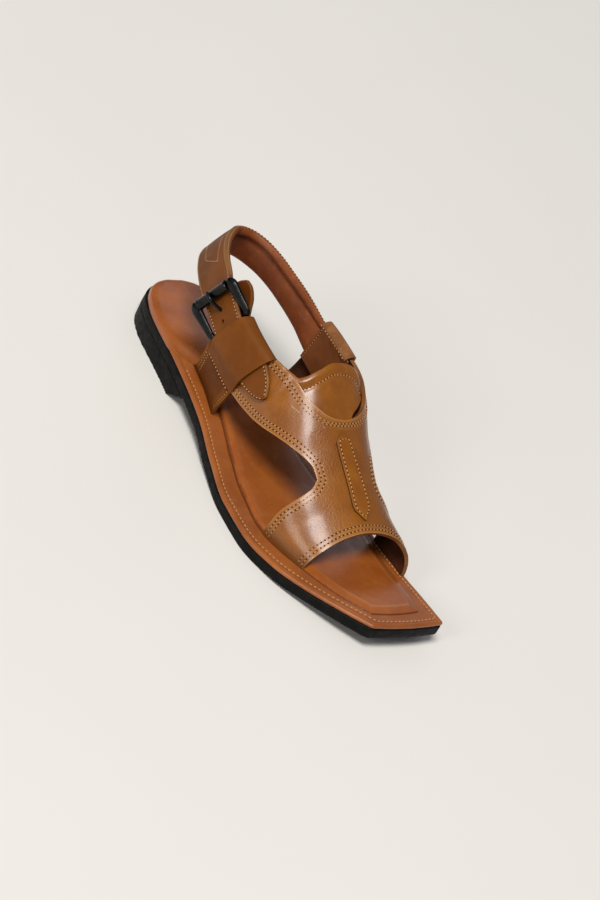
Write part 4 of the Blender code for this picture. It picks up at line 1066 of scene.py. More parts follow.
def make_footbed():
    """The padded insole: over the whole seat at the heel, and inside the welt from the waist forward."""
    def pad_inset(places, side):
        curve = smooth(places[side])
        return lambda y: np.where(y < SEAT_JOIN, curve(y), FOOTBED_INSET[side](y))

    outline = {side: pad_inset(PAD_MESH, side) for side in SIDES}
    foot = {side: pad_inset(PAD_FOOT, side) for side in SIDES}
    rim = sole_rim(foot, FOOTBED_FRONT_INSET)

    def swell(x, y):
        """0 at the pad's foot line and outside it, 1 on the pad's flat."""
        away = rim_distance(np.stack([x, y], -1), rim)
        half = by_side(HALF_WIDTH, y, x >= 0) - by_side(foot, y, x >= 0)
        away = np.where((np.abs(x) > half) & (y > SEAT_END - 6), -away, away)
        join = np.clip((y - SEAT_END + 6) / 14, 0, 1) * np.clip((SEAT_JOIN + 8 - y) / 10, 0, 1)
        reach = np.clip(away / (FOOTBED_EDGE_ROUND + 3.0 * join), 0, 1)
        crown = np.clip(away / SEAT_CROWN, 0, 1)
        seat = np.clip((SEAT_JOIN - y) / 30, 0, 1)
        rounded = PAD_RIM + (1 - PAD_RIM - 0.3 * seat) * np.sqrt(1 - (1 - reach) ** 2)
        rounded = rounded + SEAT_CROWNS[0] * seat * crown * (2 - crown)
        gentle = reach * reach * (3 - 2 * reach) * (1 - 0.2 * seat)
        gentle = gentle + SEAT_CROWNS[1] * seat * crown * (2 - crown)
        bevel = TOE_RIM + (1 - TOE_RIM) * np.clip(away / TOE_BEVEL, 0, 1) ** 0.9
        at_toe = np.clip((y - FLAT_TOE_FROM) / FLAT_TOE_RUN, 0, 1)
        rounded = rounded * (1 - at_toe) + bevel * at_toe
        return rounded * (1 - join) + gentle * join

    def top(x, y):
        creases = 0.0
        for row in PAD_CREASES:
            across = bell((y - row.y - row.lean * x) / row.wide)
            creases = creases - row.deep * across * bell(x / PAD_CREASE_REACH)
        return welt_top(y) + PAD_LIFT + (GAP + FOOTBED_HEIGHT(y) + creases) * swell(x, y)

    def bottom(x, y):
        skirt = np.clip((SKIRT_END - y) / 4, 0, 1)
        return (OUTSOLE_TOP(y) + GAP * 0.5) * skirt + (welt_top(y) + 0.03) * (1 - skirt)

    shares = np.sin(np.linspace(-1, 1, 61) * math.pi / 2)
    pad = slab("footbed_pad", stations(SOLE_LENGTH, 1.6), shares, PAD_EDGE, top, bottom, bed_leather,
               inset=outline, front_inset=FOOTBED_FRONT_INSET)
    places = place_of(pad)
    away = rim_distance(places[:, None, :2], rim)[:, 0]
    # Where to paint the shade along the pad's foot and the highlight along its toe bevel.
    add_attribute(pad, "crease", away + 4.0 * (places[:, 1] < SEAT_JOIN - 6))
    add_attribute(pad, "painted_crest_highlight", np.abs(away - TOE_BEVEL) + 10.0 * (places[:, 1] < TOE_BEVEL_FROM))
    finish_piece(pad, "footbed_leather", "footbed")


# ---------------------------------------------------------------- stitches


def stitch_shape(rings=4, sides=6):
    """Points (along, across, up) and faces of one stitch of unit length, width and height."""
    points = [(-0.5, 0.0, 0.0)]
    for r in range(1, rings):
        angle = math.pi * r / rings
        for s in range(sides):
            turn = 2 * math.pi * s / sides
            bulge = math.sin(angle) ** 0.6 / 2
            points.append((-math.cos(angle) / 2, bulge * math.cos(turn), bulge * math.sin(turn)))
    points.append((0.5, 0.0, 0.0))
    faces = []
    for s in range(sides):
        nxt = (s + 1) % sides
        faces.append((0, 1 + nxt, 1 + s))
        for r in range(rings - 2):
            a, b = 1 + r * sides, 1 + (r + 1) * sides
            faces.append((a + s, a + nxt, b + nxt, b + s))
        last = 1 + (rings - 2) * sides
        faces.append((last + s, last + nxt, len(points) - 1))
    return np.array(points), faces


def stitch_row(parts, line, normals, pitch=2.6, long=1.35, wide=0.55, sink=0.04, holes=True):
    """Stitches along a line on a surface, into slot 0, and dark dots between them, painted shade for the
    needle holes, into slot 1.
    """
    centres, ups = resample(line, pitch, normals)
    if len(centres) < 2:
        return
    ups = unit(ups)
    tangents = unit(np.gradient(centres, axis=0))
    across = unit(np.cross(ups, tangents))
    shape, faces = stitch_shape()
    dot, dot_faces = stitch_shape(3, 6)
    for centre, along, side, up in zip(centres, tangents, across, ups):
        lean = random.normal(0, STITCH_LEAN)
        turned = along * math.cos(lean) + side * math.sin(lean)
        beside = side * math.cos(lean) - along * math.sin(lean)
        size = 1 + random.normal(0, STITCH_UNEVEN)
        scaled = shape * (long * size, wide, wide)
        body = centre - up * sink + scaled[:, :1] * turned + scaled[:, 1:2] * beside + scaled[:, 2:] * up
        parts.add(body, faces, 0)
        # Painted shade: a dark dot where the needle hole's shade would be.
        if holes:
            low = dot * HOLE_SIZE
            at = centre + along * pitch / 2
            parts.add(at + low[:, :1] * along + low[:, 1:2] * side + low[:, 2:] * up, dot_faces, 1)


def edge_line(*curves, step=0.01):
    """(y, turn) along edge curves joined end to end; a curve written as (curve, True) runs backwards."""
    pieces = []
    for item in curves:
        curve, back = item if isinstance(item, tuple) else (item, False)
        t = np.arange(0, 1 + step / 2, step)
        pieces.append(curve(t[::-1] if back else t))
    joined = np.concatenate(pieces)
    keep = np.concatenate([[True], np.linalg.norm(np.diff(joined, axis=0), axis=1) > 1e-6])
    return joined[keep] * (1, 1 / TURN_SCALE)


def inset_line(places, distance):
    """(y, turn) of a line moved across the form; to the left of its run where distance is positive."""
    """(y, turn) of a line moved across the form; to the left of its run where distance is positive."""
    y, turn = places[:, 0].copy(), places[:, 1].copy()
    start = bare_form(y, turn)
    along = unit(np.gradient(start, axis=0))
    goal = start + unit(np.cross(form_normal(y, turn), along)) * distance
    for _ in range(5):
        off = goal - bare_form(y, turn)
        by_y = (bare_form(y + FINE_Y, turn) - bare_form(y - FINE_Y, turn)) / (2 * FINE_Y)
        by_turn = (bare_form(y, turn + FINE_TURN) - bare_form(y, turn - FINE_TURN)) / (2 * FINE_TURN)
        a, b, c = (by_y**2).sum(-1), (by_y * by_turn).sum(-1), (by_turn**2).sum(-1)
        p, q = (off * by_y).sum(-1), (off * by_turn).sum(-1)
        room = np.maximum(a * c - b * b, 1e-6)
        y += np.clip((c * p - b * q) / room, -4, 4)
        turn += np.clip((a * q - b * p) / room, -0.1, 0.1)
        turn = np.clip(turn, -0.985, 0.985)
    return np.column_stack([y, turn])


def evened(line, width):
    """A line with small kinks averaged away, over an odd width of points."""
    padded = np.pad(line, ((width // 2, width // 2), (0, 0)), mode="edge")
    return np.stack([np.convolve(padded[:, k], np.ones(width) / width, mode="valid") for k in range(2)], -1)


def side_places(side, places):
    """(y, turn) of places (y, z) on one side."""
    return np.column_stack([places[:, 0], turn_at(side, places[:, 0], places[:, 1])])


def side_row(side, edge, distance):
    """(y, turn) of a low edge, given by heights, moved sideways by a distance."""
    places = spline(edge)(np.linspace(0, 1, 80))
    run = unit(np.gradient(places, axis=0))
    return side_places(side, places + np.stack([run[:, 1], -run[:, 0]], -1) * distance)


def form_row(parts, places, stand_off=0.0, **how):
    """Stitches through places (y, turn) of the form; they face inwards where stand_off is negative."""
    y, turn = places[:, 0], places[:, 1]
    facing = -1 if np.min(stand_off) < 0 else 1
    stitch_row(parts, on_form(y, turn, stand_off), facing * form_normal(y, turn), **how)


# ---------------------------------------------------------------- upper


def soft_troughs(y, turn):
    """Height in millimetres that flexing and lasting leave on the vamp: shallow creases and slow swells."""
    height = 0.12 * np.sin(y / 11.0 + turn * 4) * np.cos(turn * 7 + y / 23.0)
    for row in TROUGHS:
        across = (y - row.y - row.lean * (turn - row.turn)) / row.wide
        height = height + row.deep * bell(across) * bell((turn - row.turn) / row.reach)
    return height


def edge_distance(obj, sewn=False):
    """Distance of each vertex from the sheet's trimmed edges, or only the sewn ones; the feet don't count."""
    shape = bmesh.new()
    shape.from_mesh(obj.data)
    shape.verts.ensure_lookup_table()
    places = place_of(obj)
    samples = []
    for edge in shape.edges:
        if not edge.is_boundary:
            continue
        a, b = (places[v.index] for v in edge.verts)
        if max(a[2] - form_foot(a[1]), b[2] - form_foot(b[1])) < FOOT_MARGIN:
            continue
        if sewn and a[1] < UNSEWN_Y and a[2] > UNSEWN_Z:
            continue
        samples += [a, a * 0.5 + b * 0.5]
    shape.free()
    tree = KDTree(len(samples))
    for i, sample in enumerate(samples):
        tree.insert(sample, i)
    tree.balance()
    return np.array([tree.find(place)[2] for place in places])


def make_upper():
    parts = Parts()
    for number, ((y, turn), side) in enumerate(upper_patches()):
        outer = on_form(y, turn, soft_troughs(y, turn))
        outer[..., 2] -= FOOT_SINK * np.clip((np.abs(turn) - 0.97) / 0.03, 0, 1)
        # The arm's rear half and the tab take the darker copy of the vamp leather: painted shade.
        shaded_from = {REAR_PATCH: len(y) // 2, TAB_PATCH: 0}.get(number, len(y))
        for rows, slot in ((slice(0, shaded_from + 1), 0), (slice(shaded_from, len(y)), SHADED_COPY_SLOT)):
            part = outer[rows]
            if len(part) > 1:
                parts.add(part, grid_faces(*part.shape[:2], flip=side == LATERAL), slot)
    inner = [dark_lining, edge_leather]
    upper = parts.mesh("vamp_upper", [vamp_leather, *inner, tab_shaded_leather, *inner], weld=True)
    with opened(upper.data) as shape:
        if sum(face.normal.z * face.calc_area() for face in shape.faces) < 0:
            bmesh.ops.reverse_faces(shape, faces=shape.faces)
    upper.data.shade_smooth()
    places = place_of(upper)
    add_attribute(upper, "edge", edge_distance(upper))
    add_attribute(upper, "seam", edge_distance(upper, sewn=True))
    # The height above the foot places the painted shade at the upper's feet.
    add_attribute(upper, "height", places[:, 2] - form_foot(places[:, 1]))
    add_wall(upper, UPPER_WALL, 0.6, inside=1, rim=2)
    finish_piece(upper, "upper_leather", "upper")

    stitches = Parts()
    for side, edges in SIDES.items():
        cut = (edges.cut_front, edges.cut_top_front, edges.cut_top_rear)
        opening = edge_line(*(flat(side, places) for places in cut))
        for row in ROWS:
            form_row(stitches, inset_line(opening, -side * row))
        form_row(stitches, side_row(side, edges.tab_front, TAB_FRONT_ROW)[TAB_FRONT_PART])
        for row in TAB_REAR_ROWS:
            form_row(stitches, side_row(side, edges.tab_rear, row)[TAB_REAR_PART])
    throat = edge_line((flat(LATERAL, SIDES[LATERAL].throat), True), flat(MEDIAL, SIDES[MEDIAL].throat))
    front = edge_line(front_edge(1, -1), step=0.005)
    for row, width in zip(ROWS, THROAT_EVENING):
        form_row(stitches, evened(inset_line(throat, -row), width))
        form_row(stitches, inset_line(front, row)[FRONT_PART])
    stitches.sew("vamp_stitches", "upper_leather")


# ---------------------------------------------------------------- strip and tongue


def sheet(name, face, finishes, flip=False):
    """A thin piece over a grid of points, before it has a wall."""
    return new_mesh(name, face.reshape(-1, 3), grid_faces(*face.shape[:2], flip=flip), finishes)


def make_strip():
    """The narrow tab-shaped overlay down the middle of the vamp, with its own stitch row."""
    rows, columns = STRIP_GRID
    centre, half = smooth(STRIP_CENTRE), smooth(STRIP_HALF)
    back, front = STRIP_HALF[0][0], STRIP_HALF[-1][0]
    y, across = np.meshgrid(np.linspace(back, front, rows), np.linspace(-1, 1, columns), indexing="ij")
    turn = turn_across(y, centre(y) + half(y) * across)
    swell = 0.25 * (1 - np.abs(across) ** 4)
    face = on_form(y, turn, STRIP_WALL + 0.1 + swell + soft_troughs(y, turn))
    # The strip's rim: dark edge paint, partly painted shade of its side wall.
    strip = sheet("vamp_strip", face, [strip_leather, edge_paint_and_shade])
    add_wall(strip, STRIP_WALL, 0.4, rim=1)
    finish_piece(strip, "upper_leather")

    inset = STRIP_STITCH_INSET
    ys = np.linspace(back + inset, front - inset * 1.5, 160)
    room = np.maximum(half(ys) - inset * 1.05, 0.0)
    edges = [np.column_stack([ys, centre(ys) + room]), np.column_stack([ys, centre(ys) - room])[::-1]]
    outline = np.concatenate([*edges, edges[0][:1]])
    places = np.column_stack([outline[:, 0], turn_across(outline[:, 0], outline[:, 1])])
    stitches = Parts()
    lift = STRIP_WALL + 0.3 + soft_troughs(places[:, 0], places[:, 1])
    form_row(stitches, places, lift, pitch=2.5, long=1.7)
    stitches.sew("strip_stitches", "upper_leather")


def make_tongue():
    """The tongue behind the throat, with a turned and rounded top edge and a stitch row that follows it."""
    rows, columns = TONGUE_GRID
    widest = TONGUE_TOP[-1][0]
    back, across = np.meshgrid(np.linspace(0, 1, rows), np.linspace(-1, 1, columns), indexing="ij")
    lateral_half = TONGUE_FRONT_TURN + (widest - TONGUE_FRONT_TURN) * np.sin(back * math.pi / 2)
    turn = across * np.where(across > 0, lateral_half, smooth(TONGUE_MEDIAL)(back))
    top = smooth(TONGUE_TOP)(across * np.where(across > 0, widest, TONGUE_MEDIAL[-1][1]))
    y = TONGUE_FRONT_Y + (top - TONGUE_FRONT_Y) * back
    base = -UPPER_WALL - TONGUE_ROOM
    flat_face = on_form(y, turn, base)
    steps = np.linalg.norm(np.diff(flat_face, axis=0), axis=-1)
    below = np.concatenate([np.cumsum(steps[::-1], axis=0)[::-1], np.zeros((1, columns))])
    widths = np.linalg.norm(np.diff(flat_face, axis=1), axis=-1)
    from_side = np.concatenate([np.zeros((rows, 1)), np.cumsum(widths, axis=1)], axis=1)
    free = np.clip((0.5 - turn) / 0.1, 0, 1)
    dome = ridge(below, *TONGUE_DOME) * bell(turn / TONGUE_DOME_TURN)
    relief = (ridge(below, *TONGUE_TURNED) + ridge(below, *TONGUE_DIP) + dome) * free
    face = on_form(y, turn, base + relief + ridge(from_side, *TONGUE_CURL) * (back > TONGUE_CURL_FROM))
    tongue = sheet("tongue_leather", face, [tongue_leather, dark_lining, edge_leather], flip=True)
    add_wall(tongue, TONGUE_WALL, 0.6, inside=1, rim=2)
    finish_piece(tongue, "lining_leather", "tongue")

    seam = []
    for c in range(columns)[2:-2]:
        lines = (*face[::-1, c].T, turn[::-1, c])
        seam.append([np.interp(TONGUE_ROW, below[::-1, c], line) for line in lines])
    seam = np.array(seam)
    stitches = Parts()
    stitch_row(stitches, seam[:, :3], form_normal(seam[:, 1], seam[:, 3]), pitch=2.4, long=1.6)
    stitches.sew("tongue_stitches", "lining_leather")


# ---------------------------------------------------------------- heel strap


def strap_table():
    """Low edge, high edge and thickness of the strap's outer face, from the medial arm round to the tip."""
    low, high, wall = [], [], []
    for side, rows in ((MEDIAL, STRAP_MEDIAL), (None, STRAP_LOOP), (LATERAL, STRAP_LATERAL)):
        for row in rows:
            for line, place in ((low, row.low), (high, row.high)):
                line.append(side_point(side, place, row.stand_off) if side else np.array(place, float))
            wall.append([row.thickness])
    return np.array(low), np.array(high), np.array(wall)


STRAP = strap_table()
STRAP_LAST = len(STRAP[0]) - 1


def strap_frame(place):
    """Low edge, high edge, thickness and inward direction at fractional places along the strap."""
    place = np.asarray(place, float)
    low, high, wall = (catmull(line, place) for line in STRAP)
    ahead, behind = np.minimum(place + 0.1, STRAP_LAST), np.maximum(place - 0.1, 0)
    run = sum(catmull(line, ahead) - catmull(line, behind) for line in STRAP[:2])
    return low, high, wall[..., 0], unit(np.cross(high - low, unit(run)))


def on_strap(place, share, depth):
    """Points on the strap: share runs from its low edge to its high one, depth inwards from the outside."""
    low, high, _, inwards = strap_frame(place)
    share, depth = np.asarray(share, float), np.asarray(depth, float)
    crown = STRAP_CROWN * (1 - (2 * np.clip(share, 0, 1) - 1) ** 2)
    return low + (high - low) * share[..., None] + inwards * (depth - crown)[..., None]


def strap_loops(places, section):
    """Rings round the strap; section(place) gives (share, depth) pairs."""
    rings = []
    for place in places:
        shares, depths = zip(*section(place))
        rings.append(on_strap(np.full(len(shares), place), np.array(shares), np.array(depths)))
    return np.array(rings)


def padding(place):
    """1 where the strap is padded, falling to 0 towards the buckle and the medial arm."""
    fade_in = np.clip((place - PAD_START + 0.3) / PAD_FADE_IN, 0, 1)
    return float(fade_in * np.clip((PAD_END - place) / PAD_FADE_OUT, 0, 1))


def skin(place):
    """Section of the strap's leather: outer face, turned top edge, fold, and back inside the padding."""
    low, high, wall, _ = strap_frame(place)
    wide, wall = float(np.linalg.norm(high - low)), float(wall)
    pad = padding(place)
    fold = 1 - (1 - FOLD_SHARE) * pad - 0.02
    inner = wall * (1 - pad) + STRAP_SKIN * pad
    curve = 0.5 * min(wall, wide)
    shares = np.linspace(curve * 0.5 / wide, 1 - curve * 0.45 / wide, OUTER_POINTS)
    points = [(share, 0.0) for share in shares]
    for angle in np.linspace(75, -75, FOLD_POINTS - len(FOLD_STEPS)):
        a = math.radians(angle)
        points.append((1 + curve * (math.cos(a) - 0.55) / wide, wall / 2 * (1 - math.sin(a))))
    for t in FOLD_STEPS:
        depth = wall + FOLD_RISE * pad * math.sin(math.pi * t) - FOLD_TUCK * pad * t**6
        points.append((1 - (1 - fold) * t, depth))
    points += [(share, inner) for share in (fold, 0.66, 0.33, curve * 0.6 / wide)]
    for angle in (-50, 0, 50):
        a = math.radians(angle)
        points.append((curve * (0.5 - math.cos(a) * 0.5) / wide, inner / 2 * (1 - math.sin(a))))
    return points


def pad_section(place):
    """Section of the padded lining, with slow puffs along it."""
    wall, swell = float(strap_frame(place)[2]), padding(place)
    top, bottom = FOLD_SHARE - 0.035, 0.03
    points = [(bottom, STRAP_SKIN + 0.05), (top, STRAP_SKIN + 0.05)]
    for t in np.linspace(0, 1, 19):
        rise = (1 - abs(2 * t - 1) ** 2.6) ** 0.7
        puffs = 0.12 * math.sin(place * 2.3 + 2 * t) + 0.07 * math.sin(place * 5.1 - 3 * t)
        deep = STRAP_SKIN + 0.15 + (wall - STRAP_SKIN + 0.7 + puffs) * rise * swell
        points.append((top - (top - bottom) * t, deep))
    return points


def make_strap():
    """The heel strap: leather turned over the top edge and sewn down inside, padding and stitches."""
    loops = strap_loops(np.linspace(0, STRAP_LAST, SKIN_RINGS), skin)
    faces = grid_faces(*loops.shape[:2], closed=True)
    around = np.arange(len(faces)) % loops.shape[1]
    rim_end = OUTER_POINTS + RIM_POINTS
    lined = (around >= rim_end) & (around < OUTER_POINTS + FOLD_POINTS)
    rim = (around >= OUTER_POINTS - 1) & (around < rim_end)
    parts = Parts()
    parts.add(loops, faces[~lined & ~rim])
    parts.cover(faces[rim], 2)
    parts.cover(faces[lined], 1)
    parts.cap(loops)
    strap = parts.mesh("back_strap", [strap_leather, lining_leather, edge_leather], weld=True)
    cut_hole(strap)
    finish_piece(strap, "upper_leather", "heel_strap")

    loops = strap_loops(np.linspace(PAD_START - 0.1, PAD_END - 0.15, PAD_RINGS), pad_section)
    parts = Parts()
    parts.add(loops, grid_faces(*loops.shape[:2], closed=True))
    parts.cap(loops)
    pad = parts.mesh("strap_padding", [lining_leather], weld=True)
    finish_piece(pad, "lining_leather")
    make_strap_stitches()


def strap_line(places, shares):
    """Points on the strap's outer face, and its directions outwards there."""
    return on_strap(places, shares, np.zeros(len(places))), -strap_frame(places)[3]


def make_strap_stitches():
    stitches = Parts()
    places = np.linspace(1.2, STRAP_LAST - 0.35, 900)
    low, high, _, _ = strap_frame(places)
    share = np.minimum(STRAP_STITCH_INSET / np.linalg.norm(high - low, axis=-1), 0.5)
    for shares in (share, 1 - share):
        stitch_row(stitches, *strap_line(places, shares), **STRAP_STITCH)
    places = np.linspace(PAD_START, PAD_END + 0.4, 900)
    low, high, wall, _ = strap_frame(places)
    wide = np.linalg.norm(high - low, axis=-1)
    rim = on_strap(places, 1 + 0.5 * np.minimum(wall, wide) * 0.42 / wide, wall * 0.3)
    stitch_row(stitches, rim, unit(high - low), **STRAP_STITCH)
    for corners in PATCH_ENDS:
        steps, knots = np.linspace(0, len(corners) - 1, 90), np.arange(len(corners))
        line = strap_line(*(np.interp(steps, knots, values) for values in zip(*corners)))
        stitch_row(stitches, *line, **STRAP_STITCH)
    stitches.sew("strap_stitches", "upper_leather")


def cut_hole(strap):
    """Punches the one buckle hole that shows through the strap."""
    place, share = STRAP_HOLE
    centre, up = strap_line(np.array([place]), np.array([share]))
    radius = STRAP_HOLE_RADIUS * MM
    punch = put("punch", bpy.data.meshes.new("punch"))
    with opened(punch.data) as shape:
        bmesh.ops.create_cone(shape, cap_ends=True, segments=24, radius1=radius, radius2=radius,
                              depth=12 * MM)
    lean = Vector(up[0]).to_track_quat("Z", "Y").to_matrix().to_4x4()
    punch.matrix_world = Matrix.Translation(Vector((centre[0] + SHIFT) * MM)) @ lean
    taken = strap.modifiers.new("hole", "BOOLEAN")
    taken.operation = "DIFFERENCE"
    taken.solver = "EXACT"
    taken.object = punch
    bpy.context.view_layer.update()
    graph = bpy.context.evaluated_depsgraph_get()
    done = bpy.data.meshes.new_from_object(strap.evaluated_get(graph))
    strap.modifiers.clear()
    strap.data = done
    strap.data.name = strap.name
    bpy.data.objects.remove(punch)


# ---------------------------------------------------------------- keepers and the medial panel


def keeper_rings(side):
    """Rings round a keeper; it lies flush on the arm below its loop, where it is sewn on."""
    flange, wall = KEEPER_FLANGE[side], KEEPER_WALL[side]
    rings = []
    for row in KEEPERS[side]:
        low, high = np.array(row.low, float), np.array(row.high, float)
        top = side_point(side, row.high)
        rise = unit(top - side_point(side, tuple(low + (high - low) * 0.9))) * np.linalg.norm(high - low)
        reach, back = row.outside, row.inside
        full, down = reach + wall, 1 - KEEPER_TURN_DOWN[side]
        # (share of the height, stand-off) outside and then inside, from the sewn foot up and over the edge.
        pairs = []
        for share, swell in ((-flange, 0.0), (-0.66 * flange, 0.07), (-0.33 * flange, 0.24), (0.0, 0.5),
                             (0.08, 0.72), (0.17, 0.92)):
            outer = KEEPER_SEWN + swell * (full - KEEPER_SEWN)
            pairs.append((share, outer, share, max(outer - wall, 0.25)))
        pairs += [
            (0.33, full + 0.2, 0.33, reach + 0.2), (0.5, full + 0.3, 0.5, reach + 0.3),
            (0.75, full + 0.2, 0.75, reach + 0.2), (0.94, full, 0.93, reach),
            (1.03, full * 0.5, 0.985, reach * 0.5), (1.04, back * 0.5, 1.0, back * 0.5),
            (0.99, back - wall, 0.96, back), (down, back - wall, down, back),
        ]
        ring = []
        for share, off in [pair[:2] for pair in pairs] + [pair[2:] for pair in pairs[::-1]]:
            place = low + (high - low) * min(share, 1.0)
            ring.append(side_point(side, tuple(place), off) + rise * max(share - 1, 0.0))
        rings.append(ring)
    return catmull(np.array(rings), np.linspace(0, len(rings) - 1, KEEPER_RINGS))


def make_keeper(name, side, finish, node):
    """A leather loop round the arm and the strap, sewn on below and turned over the arm's top edge."""
    rings = keeper_rings(side)
    count, size = rings.shape[:2]
    last = (count - 1) * size
    parts = Parts()
    parts.add(rings, grid_faces(count, size, closed=True))
    end = [(i, i + 1, size - 2 - i, size - 1 - i) for i in range(size // 2 - 1)]
    parts.cover(end)
    parts.cover([face[::-1] for face in end], 0, last)
    keeper = parts.mesh(name, [finish], weld=True)
    rim = {*range(size), *range(last, last + size)}
    with opened(keeper.data) as shape:
        crease = shape.edges.layers.float.new("crease_edge")
        for edge in shape.edges:
            if rim.issuperset(v.index for v in edge.verts) and edge.calc_face_angle(0) > 0.9:
                edge[crease] = KEEPER_CREASE
    soft = keeper.modifiers.new("soft", "SUBSURF")
    soft.levels = soft.render_levels = 2
    finish_piece(keeper, "upper_leather", node)


def make_keeper_stitches():
    stitches = Parts()
    wrap_lift = KEEPERS[MEDIAL][0].inside - KEEPER_WALL[MEDIAL] - 0.1
    for side, seam, lift in ((LATERAL, KEEPER_SEAM, KEEPER_SEAM_LIFT), (MEDIAL, WRAP_SEAM, wrap_lift)):
        form_row(stitches, side_places(side, spline(seam)(np.linspace(0, 1, 60))), lift, pitch=2.5)
    stitches.sew("keeper_stitches", "upper_leather")


def make_medial_panel():
    """The dark lining sewn over the strap's end, inside the medial arm, and the stitches at its rear edge."""
    rows, columns = PANEL_GRID
    rear, front = (spline(line)(np.linspace(0, 1, rows))[:, None] for line in (PANEL_REAR, PANEL_FRONT))
    mix = np.linspace(0, 1, columns)[None, :, None]
    places = rear * (1 - mix) + front * mix
    y, z = places[..., 0], places[..., 1]
    over = np.clip((129 - y) / 7, 0, 1)
    inside = -(PANEL_SHALLOW + (PANEL_DEEP - PANEL_SHALLOW) * over * over * (3 - 2 * over))
    inside = inside - 0.35 * np.clip((104 - y) / 5, 0, 1)
    face = side_point(MEDIAL, (y, z), inside - PANEL_WALL)
    panel = sheet("medial_panel", face, [panel_leather, edge_leather])
    add_wall(panel, -PANEL_WALL, 0.3, rim=1)
    finish_piece(panel, "lining_leather")

    seam = spline([(y + PANEL_STITCH_INSET, z) for y, z in PANEL_REAR])(np.linspace(0.02, 0.98, 60))
    stitches = Parts()
    form_row(stitches, side_places(MEDIAL, seam), -(PANEL_DEEP + PANEL_SEAM_LIFT) - PANEL_WALL, pitch=2.4)
    stitches.sew("panel_stitches", "lining_leather")


# ---------------------------------------------------------------- buckle


def buckle_axes():
    """Middle of the roller bar, unit vectors towards the pivot bar, up the bar and outwards; and the span."""
    roller, pivot = side_point(LATERAL, *ROLLER_BAR), side_point(LATERAL, *PIVOT_BAR)
    along = unit(pivot - roller)
    up = STRAP[1][BUCKLE_ROW] - STRAP[0][BUCKLE_ROW]
    up = unit(up - along * (up @ along))
    return roller, along, up, np.cross(along, up), float(np.linalg.norm(pivot - roller))


BUCKLE = buckle_axes()


def in_buckle(points):
    """Points of the buckle's own frame, in the drafting frame."""
    points = np.asarray(points, float)
    return BUCKLE[0] + points[:, :1] * BUCKLE[1] + points[:, 1:2] * BUCKLE[2] + points[:, 2:] * BUCKLE[3]


def tube(path, radii, sides=20, closed=False, flatten=1.0, square=2.0):
    """Points and faces of a bar along a plane path. flatten thins it across Z; square above 2 boxes it."""
    path = np.asarray(path, float)
    radii = np.broadcast_to(np.asarray(radii, float), len(path))
    if closed:
        run = unit(np.roll(path, -1, 0) - np.roll(path, 1, 0))
    else:
        run = unit(np.gradient(path, axis=0))
    flat_up = np.tile([0.0, 0.0, 1.0], (len(path), 1))
    if np.abs(run[:, 1]).max() < 1e-6:
        flat_up = np.tile([0.0, 1.0, 0.0], (len(path), 1))
    side = unit(np.cross(flat_up, run))
    angles = np.linspace(0, 2 * math.pi, sides, endpoint=False)
    circle = np.cos(angles), np.sin(angles)
    across, above = (np.sign(line) * np.abs(line) ** (2 / square) for line in circle)
    ring = side[:, None] * across[None, :, None]
    ring = ring + flat_up[:, None] * above[None, :, None] * flatten
    points = path[:, None] + ring * radii[:, None, None]
    if closed:
        return points.reshape(-1, 3), ring_faces(len(path), sides)
    faces = [tuple(face) for face in grid_faces(len(path), sides, closed=True)]
    last = (len(path) - 1) * sides
    return points.reshape(-1, 3), faces + [tuple(range(sides))[::-1], tuple(range(last, last + sides))]


def buckle_part(name, points, faces, node):
    """A metal part of the buckle, from points in its own frame."""
    part = new_mesh(name, in_buckle(points), faces, [gunmetal], weld=True)
    return finish_piece(part, "gunmetal", node)


def make_frame():
    """The buckle's frame: a round-cornered loop, flatter and wider down its two arms."""
    span = BUCKLE[4]
    room = FRAME_HALF_WIDTH - FRAME_CORNER
    near, far = FRAME_CORNER, span - FRAME_CORNER
    path = []
    for cx, cy, start in ((near, -room, 180), (far, -room, 270), (far, room, 0), (near, room, 90)):
        for step in range(FRAME_CORNER_STEPS + 1):
            a = math.radians(start + 90 * step / FRAME_CORNER_STEPS)
            path.append(np.array((cx + FRAME_CORNER * math.cos(a), cy + FRAME_CORNER * math.sin(a), 0.0)))
    fine = []
    for a, b in zip(path, path[1:] + path[:1]):
        count = max(int(np.linalg.norm(b - a) / FRAME_STEP), 1)
        fine += [a + (b - a) * i / count for i in range(count)]
    fine = np.array(fine)
    ends = np.where(fine[:, 0] < near, FAR_BAR_SHARE, PIVOT_BAR_SHARE)
    on_side = np.clip((np.abs(fine[:, 1]) - room + 0.6) / FRAME_CORNER * 1.5, 0, 1)
    arm = ARM_SHARE - ARM_NARROWING * np.clip(fine[:, 0] / span, 0, 1) ** 0.8
    radii = BAR_RADIUS * (ends + (arm - ends) * on_side)
    bars = tube(fine, radii, 32, closed=True, flatten=ARM_FLATNESS, square=ARM_SQUARE)
    buckle_part("buckle_bars", *bars, "buckle_frame")


def make_roller():
    """The sleeve on the far bar, with a shallow groove near each end."""
    half, radius = ROLLER_HALF_LENGTH, ROLLER_RADIUS
    inner = BAR_RADIUS * FAR_BAR_SHARE + GAP * 0.5
    outline = [(inner, -half), (radius - 0.4, -half), (radius, -half + 0.35), (radius, -half + 1.5),
               (radius - 0.18, -half + 1.75), (radius - 0.18, 0.0)]
    outline += [(r, -height) for r, height in outline[-2::-1]]
    angles = [2 * math.pi * t / ROLLER_SIDES for t in range(ROLLER_SIDES)]
    points = [(r * math.cos(a), height, r * math.sin(a)) for r, height in outline for a in angles]
    roller = buckle_part("buckle_sleeve", points, ring_faces(len(outline), ROLLER_SIDES), "buckle_roller")
    round_edges(roller, 0.12, 2, 35)


